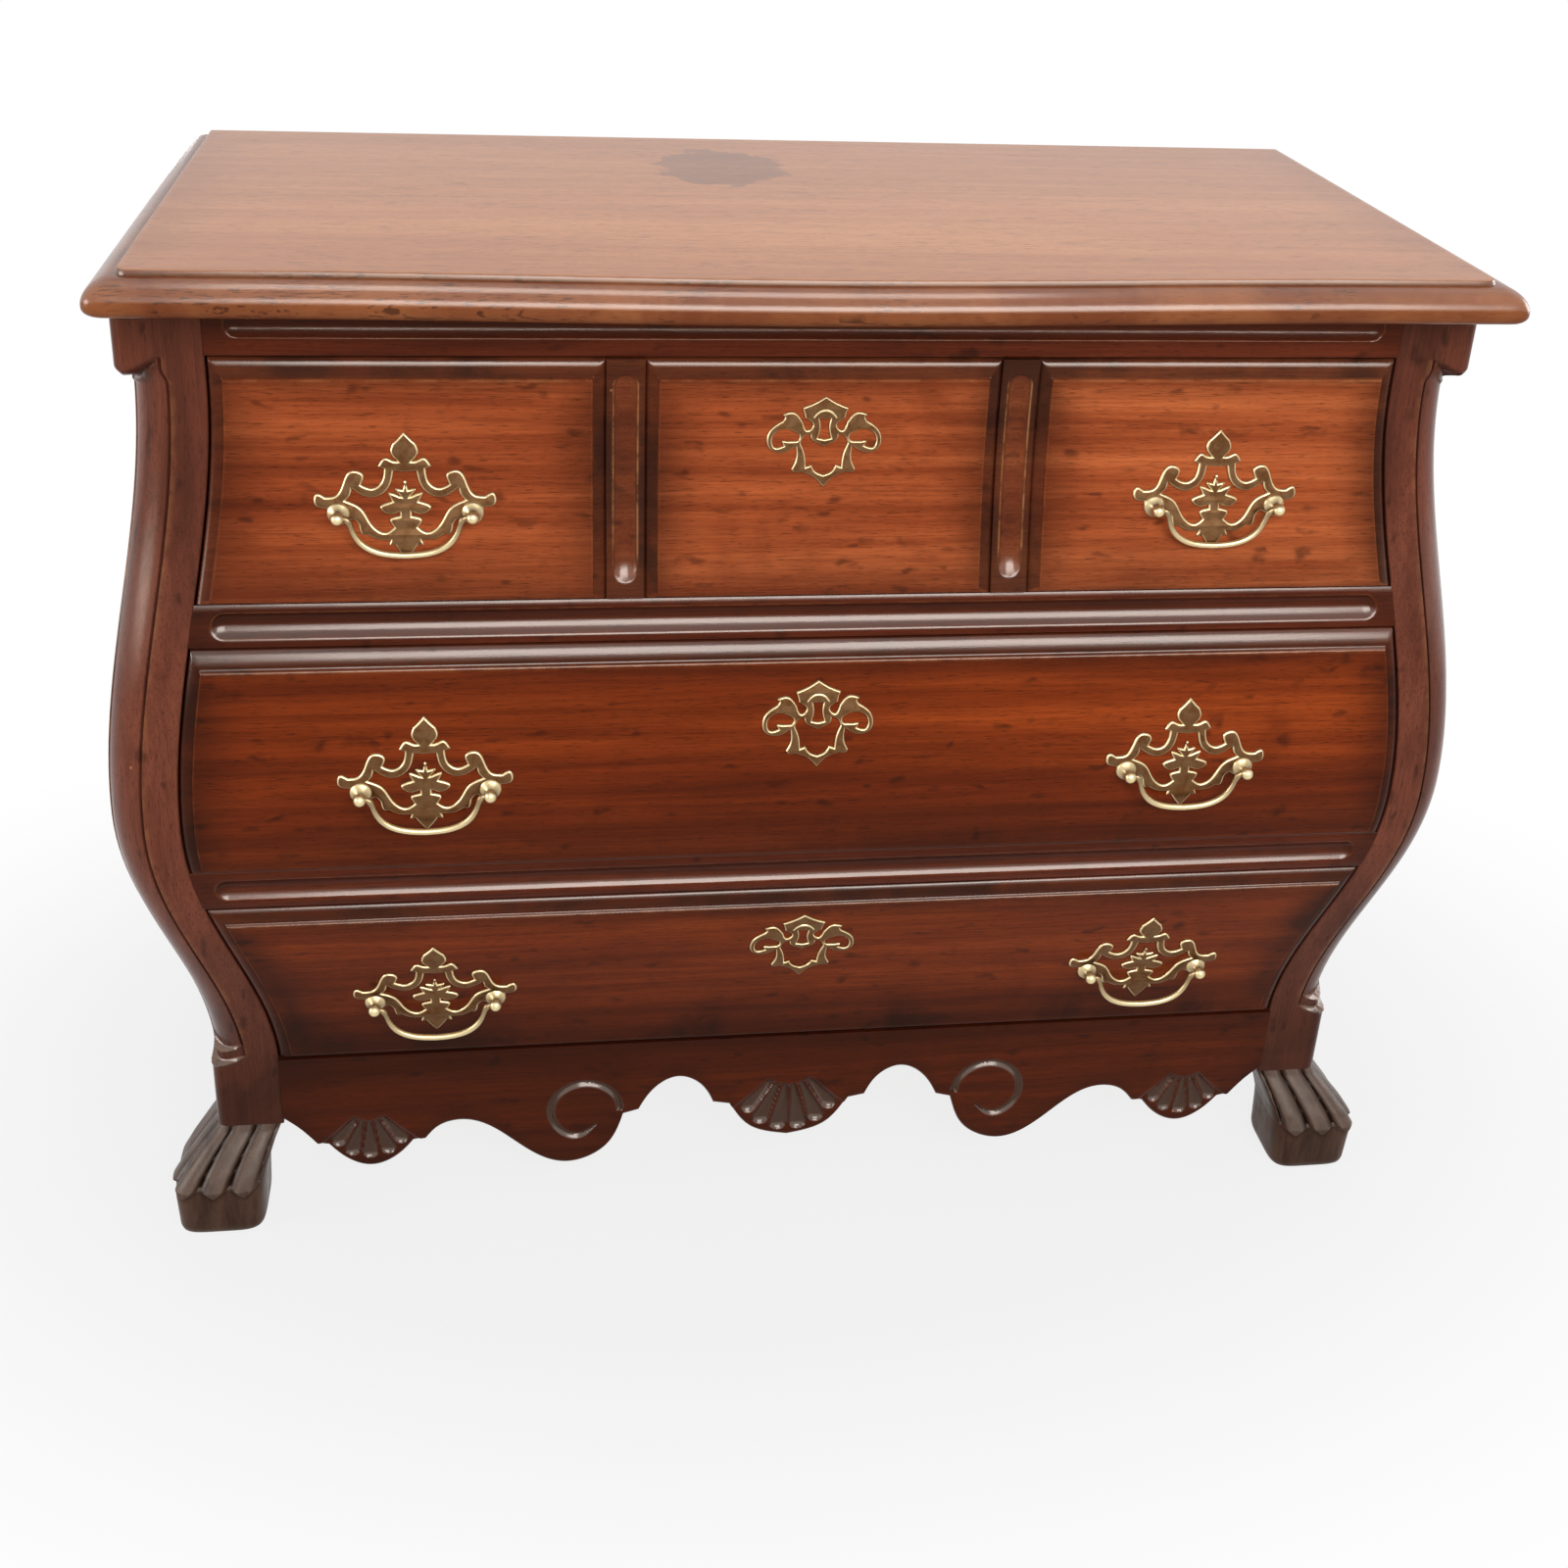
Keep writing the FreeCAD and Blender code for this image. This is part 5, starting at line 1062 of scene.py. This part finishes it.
def pierced_plate(piece, outline, windows, rim, centre_x, level):
    """Adds a pierced plate: the bevel profile carried round the outline and round each window, with flat
    faces between them in front and behind. Rims that face downwards are darker: painted shade."""
    points, shades, faces, rims = [], [], [], []
    first = 0
    for loop, inward in [(outline, 1)] + [(window, -1) for window in windows]:
        rows = np.stack([offset_loop(loop, inward * inset * rim) for inset in BEVEL[:, 0]])
        heights = np.broadcast_to(BEVEL[:, 1:], rows.shape[:2])
        upward = (loop - offset_loop(loop, inward))[:, 1]
        # Painted shade: more patina on rims that face downwards.
        patina = np.clip(RIM_PATINA_AND_REFLECTION[:, None] - 0.65 * np.minimum(upward, 0), 0, 1)
        points.append(laid_on_front(rows, heights, centre_x, level).reshape(-1, 3))
        shades.append(tarnished(patina).reshape(-1, 3))
        quads = weave(len(BEVEL), len(loop), True) + first
        faces.append(quads[:, ::-1] if inward > 0 else quads)
        rims.append((rows, first + np.arange(heights.size).reshape(heights.shape)))
        first += heights.size
    for row, facing in ((-1, 1), (0, -1)):
        flat = [rows[row] for rows, index in rims]
        index = np.concatenate([index[row] for rows, index in rims])
        triangles = np.array(tessellate_polygon([[Vector((x, z, 0)) for x, z in loop] for loop in flat]))
        corners = np.concatenate(flat)[triangles]
        one, two = corners[:, 1] - corners[:, 0], corners[:, 2] - corners[:, 0]
        area = np.sum(one[:, 0] * two[:, 1] - one[:, 1] * two[:, 0])
        faces.append(index[triangles if area * facing > 0 else triangles[:, ::-1]])
    piece.add(np.concatenate(points), faces, np.concatenate(shades))


def turned(piece, profile, centre, columns, patina):
    """Adds a turning: a profile of radius and depth along Y carried round an axis through a centre."""
    profile = np.asarray(profile, float)
    bearing = np.linspace(0, 2 * np.pi, columns, endpoint=False)
    x = centre[0] + profile[:, :1] * np.cos(bearing)
    z = centre[2] + profile[:, :1] * np.sin(bearing)
    y = centre[1] + np.broadcast_to(profile[:, 1:], x.shape)
    shade = tarnished(np.reshape(patina, (-1, 1)) + 0 * x)
    piece.add(np.dstack([x, y, z]), skin(len(profile), columns), shade, flip=True)


def swept(piece, path, radii, columns, patina):
    """Adds a round bar: circles of given radii carried along a path that lies in one upright plane."""
    ahead = np.gradient(path, axis=0)
    ahead = ahead / np.linalg.norm(ahead, axis=1, keepdims=True)
    depth = np.array([0.0, 1.0, 0.0])
    aside = np.cross(depth, ahead)
    aside = aside / np.linalg.norm(aside, axis=1, keepdims=True)
    bearing = np.linspace(0, 2 * np.pi, columns, endpoint=False)[None, :, None]
    radii = np.asarray(radii)[:, None, None]
    loops = path[:, None] + radii * (np.cos(bearing) * aside[:, None] + np.sin(bearing) * depth)
    shade = tarnished(np.reshape(patina, (-1, 1)) + np.zeros((len(path), columns)))
    piece.add(loops, skin(len(path), columns), shade)


def pull_axis(name, side):
    """Middle of a bail's hinge axis, from the frame's joint."""
    joint = next(one for one in frame["joints"] if one["name"] == f"{name}_{side}_bail_swing")
    return np.array(joint["pos_m"]) / MM


def drawer_brass(name):
    """Escutcheon, pull plates, pull posts and bails of one drawer."""
    body = f"{name}_drawer"
    level = node_box(f"{name}_escutcheon")[1][2] - ESCUTCHEON_EDGE[0][0][1]
    scroll = chained(SCROLL_WINDOW, 0.7)[:-1]
    windows = [scroll, scroll[::-1] * (-1, 1), whole_outline(SHIELD_WINDOW), whole_outline(KEYHOLE)]
    piece = Piece()
    pierced_plate(piece, whole_outline(ESCUTCHEON_EDGE), windows, ESCUTCHEON_RIM, 0, level)
    rib = laid_on_front(smooth_run(BONNET, 0.9), PLATE_THICKNESS - 0.2, 0, level)
    swept(piece, rib, 1.1 * np.sin(np.linspace(0.25, np.pi - 0.25, len(rib))) ** 0.5, 10, 0.1)
    piece.make(f"{name}_bevelled_escutcheon", body, "brass", f"{name}_escutcheon", sharp=28)
    plates, posts = Piece(), Piece()
    front_back = node_box(f"{name}_drawer_front")[1][1]
    outline, windows = whole_outline(PLATE_EDGE), [whole_outline(PLATE_WINDOW)]
    for side in SIDES:
        axis = pull_axis(name, side)
        pierced_plate(plates, outline, windows, PLATE_RIM, axis[0], axis[2])
        for end in (-1, 1):
            pull_post(posts, np.array([axis[0] + end * POST_SPACING / 2, axis[1], axis[2]]), front_back)
        bail(name, side, axis)
    plates.make(f"{name}_bevelled_plates", body, "brass", f"{name}_pull_plates", sharp=28)
    posts.make(f"{name}_turned_posts", body, "brass", f"{name}_pull_posts", sharp=40)


def pull_post(piece, centre, front_back):
    """One post: a ball on a flared flange that sinks into the plate, and behind the front a hexagonal nut
    on the end of the shank."""
    seat = face_y(centre[2]) - PLATE_THICKNESS - centre[1]
    ball = np.linspace(0.12, np.pi * 0.8, 16)
    flare = np.linspace(0, 1, 9)
    neck = KNOB_RADIUS * math.sin(ball[-1])
    start = -KNOB_RADIUS * math.cos(ball[-1])
    profile = np.concatenate([
        np.stack([KNOB_RADIUS * np.sin(ball), -KNOB_RADIUS * np.cos(ball)], axis=1),
        np.stack([neck + (FLANGE_RADIUS - neck) * flare ** 1.4,
                  start + 0.4 + (seat - start - 0.9) * flare], axis=1),
        [(FLANGE_RADIUS + 0.3, seat + 0.2), (FLANGE_RADIUS, seat + 3.4)]])
    patina = np.concatenate([np.linspace(0.05, 0.6, 16), np.linspace(0.8, 0.25, 9), [0.1, 0.8]])
    turned(piece, profile, centre, 30, patina)
    back = front_back - centre[1]
    turned(piece, [(2.4, back - 1), (2.4, back + 6.4), (1.8, back + 7)], centre, 16, (0.6, 0.6, 0.6))
    turned(piece, [(5.2, back + 0.1), (5.5, back + 0.5), (5.5, back + 3.6), (5.0, back + 4.1)], centre, 6,
           (0.6, 0.5, 0.4, 0.4))


BAIL_DROP, BAIL_RADIUS, BAIL_SWELL = 31, 1.9, 0.7
COLLAR_PLACE, COLLAR_RISE = 43.4, 0.9
BAIL_HALF = [(49.5, 0), (44.8, 0), (42.6, -3), (40.2, -10), (34, -20.5), (19, -28.8), (0, -BAIL_DROP)]


def bail(name, side, axis):
    """A hanging bail: a round bar along a smooth line between the posts, thickest in the middle, with a
    collar beside each post."""
    right = smooth_run(BAIL_HALF, 1.6)
    line = np.concatenate([right, right[-2::-1] * (-1, 1)])
    path = np.stack([axis[0] + line[:, 0], np.full(len(line), axis[1]), axis[2] + line[:, 1]], axis=1)
    share = np.clip(-line[:, 1] / BAIL_DROP, 0, 1)
    radii = BAIL_RADIUS + BAIL_SWELL * ease(share * 1.2)
    radii = radii + COLLAR_RISE * bump(np.abs(line[:, 0]), COLLAR_PLACE, 1.6)
    piece = Piece()
    # Dull on the arms and bright along the bottom of the bar: painted highlight.
    swept(piece, path, radii, 16, 0.75 - 0.55 * ease(share * 1.1 - 0.1))
    node = f"{name}_{side}_bail"
    piece.make(f"{name}_{side}_round_bail", node, "brass", node, sharp=50)


# Solids of the frame that stay, with better finishes


def dress_frame():
    """Gives each solid that stays its finish, by the slot that the record names."""
    slots = {one["node"]: one["material_slot"] for one in frame["record"]["subparts"]}
    for node, solid in frame["nodes"].items():
        solid.data.materials.clear()
        solid.data.materials.append(FINISHES[SLOT_FINISHES[slots[node]]])


# Floor, lights and camera


def seen_directly(tree):
    """1 for rays that show the background itself, in the picture or in a reflection."""
    path = tree.nodes.new("ShaderNodeLightPath")
    total = path.outputs["Is Camera Ray"]
    for name in ("Is Glossy Ray", "Is Transmission Ray"):
        node = tree.nodes.new("ShaderNodeMath")
        node.operation = "MAXIMUM"
        tree.links.new(total, node.inputs[0])
        tree.links.new(path.outputs[name], node.inputs[1])
        total = node.outputs[0]
    return total


def white_world(strength):
    """Plain white behind the chest, and a weaker even light on it."""
    world = bpy.data.worlds.new("studio")
    bpy.context.scene.world = world
    world.use_nodes = True
    tree = world.node_tree
    soft = tree.nodes["Background"]
    soft.inputs["Color"].default_value = (1, 1, 1, 1)
    soft.inputs["Strength"].default_value = strength
    white = tree.nodes.new("ShaderNodeBackground")
    white.inputs["Color"].default_value = (1, 1, 1, 1)
    mix = tree.nodes.new("ShaderNodeMixShader")
    tree.links.new(seen_directly(tree), mix.inputs[0])
    tree.links.new(soft.outputs[0], mix.inputs[1])
    tree.links.new(white.outputs[0], mix.inputs[2])
    tree.links.new(mix.outputs[0], tree.nodes["World Output"].inputs["Surface"])


def pale_floor():
    """A pale floor that keeps the shadow near the chest and fades into the white background."""
    reach = 6.0
    mesh = bpy.data.meshes.new("floor")
    mesh.from_pydata([(-reach, -reach, 0), (reach, -reach, 0), (reach, reach, 0), (-reach, reach, 0)], [],
                     [(0, 1, 2, 3)])
    floor = bpy.data.objects.new("floor", mesh)
    bpy.context.scene.collection.objects.link(floor)
    paint = Finish("floor")
    tree = paint.tree
    tint = paint.noise(paint.place, 2.0, 3, 0.5)
    paint.set(Base_Color=paint.mix(tint, (0.33, 0.33, 0.33, 1), (0.38, 0.38, 0.38, 1)), Roughness=0.9,
              Specular_IOR_Level=0.1)
    distance = paint.length(paint.stretched((0.8, 1.2, 0)))
    share = paint.math("MULTIPLY", seen_directly(tree), paint.range(distance, 0.4, 1.0, 0.82, 1.0))
    white = paint.add("ShaderNodeEmission", {"Color": (1, 1, 1, 1), "Strength": 1.0})
    mix = paint.add("ShaderNodeMixShader", {0: share, 1: paint.shader.outputs[0], 2: white.outputs[0]})
    tree.links.new(mix.outputs[0], tree.nodes["Material Output"].inputs["Surface"])
    mesh.materials.append(paint.material)


def soft_light(name, place, target, width, depth, power):
    """A rectangular soft lamp that looks at a target."""
    data = bpy.data.lights.new(name, "AREA")
    data.shape = "RECTANGLE"
    data.size = width
    data.size_y = depth
    data.energy = power
    lamp = bpy.data.objects.new(name, data)
    lamp.location = place
    lamp.rotation_euler = (Vector(target) - Vector(place)).to_track_quat("-Z", "Y").to_euler()
    bpy.context.scene.collection.objects.link(lamp)


CAMERA_PLACE = (-0.237, -1.545, 1.260)
CAMERA_RIGHT = Vector((0.9903, -0.1314, 0.0455))
CAMERA_FORWARD = Vector((0.1385, 0.9030, -0.4066))
FOCAL_PIXELS, IMAGE_PIXELS, SENSOR = 1914, 1600, 36
SHIFT_Y = -0.15


def photo_camera():
    """The camera at the photograph's place and angle."""
    data = bpy.data.cameras.new("camera")
    data.sensor_width = SENSOR
    data.lens = FOCAL_PIXELS / IMAGE_PIXELS * SENSOR
    data.shift_y = SHIFT_Y
    camera = bpy.data.objects.new("camera", data)
    forward = CAMERA_FORWARD.normalized()
    right = (CAMERA_RIGHT - forward * CAMERA_RIGHT.dot(forward)).normalized()
    up = right.cross(forward)
    turn = Matrix((right, up, -forward)).transposed()
    camera.matrix_world = Matrix.Translation(CAMERA_PLACE) @ turn.to_4x4()
    bpy.context.scene.collection.objects.link(camera)
    bpy.context.scene.camera = camera


dress_frame()
moulded_top()
corner_post()
for rail in ("top_rail", "upper_rail", "lower_rail"):
    fluted_rail(rail)
carved_apron()
paw_foot()
for drawer in DRAWERS:
    drawer_front(drawer)
    drawer_brass(drawer)
pale_floor()
white_world(0.22)
soft_light("key", (0.4, -2.35, 1.95), (0, -0.15, 0.55), 2.4, 1.3, 64)
soft_light("overhead", (0, 0.1, 2.9), (0, 0, 0.88), 1.6, 0.9, 18)
soft_light("left_fill", (-3.0, -0.8, 1.2), (0, 0, 0.45), 1.4, 1.4, 36)
soft_light("right_fill", (3.0, 0.6, 1.2), (0, 0, 0.45), 1.4, 1.4, 25)
soft_light("back_fill", (0, 3.0, 0.45), (0, 0.2, 0.45), 2.4, 0.7, 45)
photo_camera()
bpy.context.scene.view_settings.view_transform = "Standard"
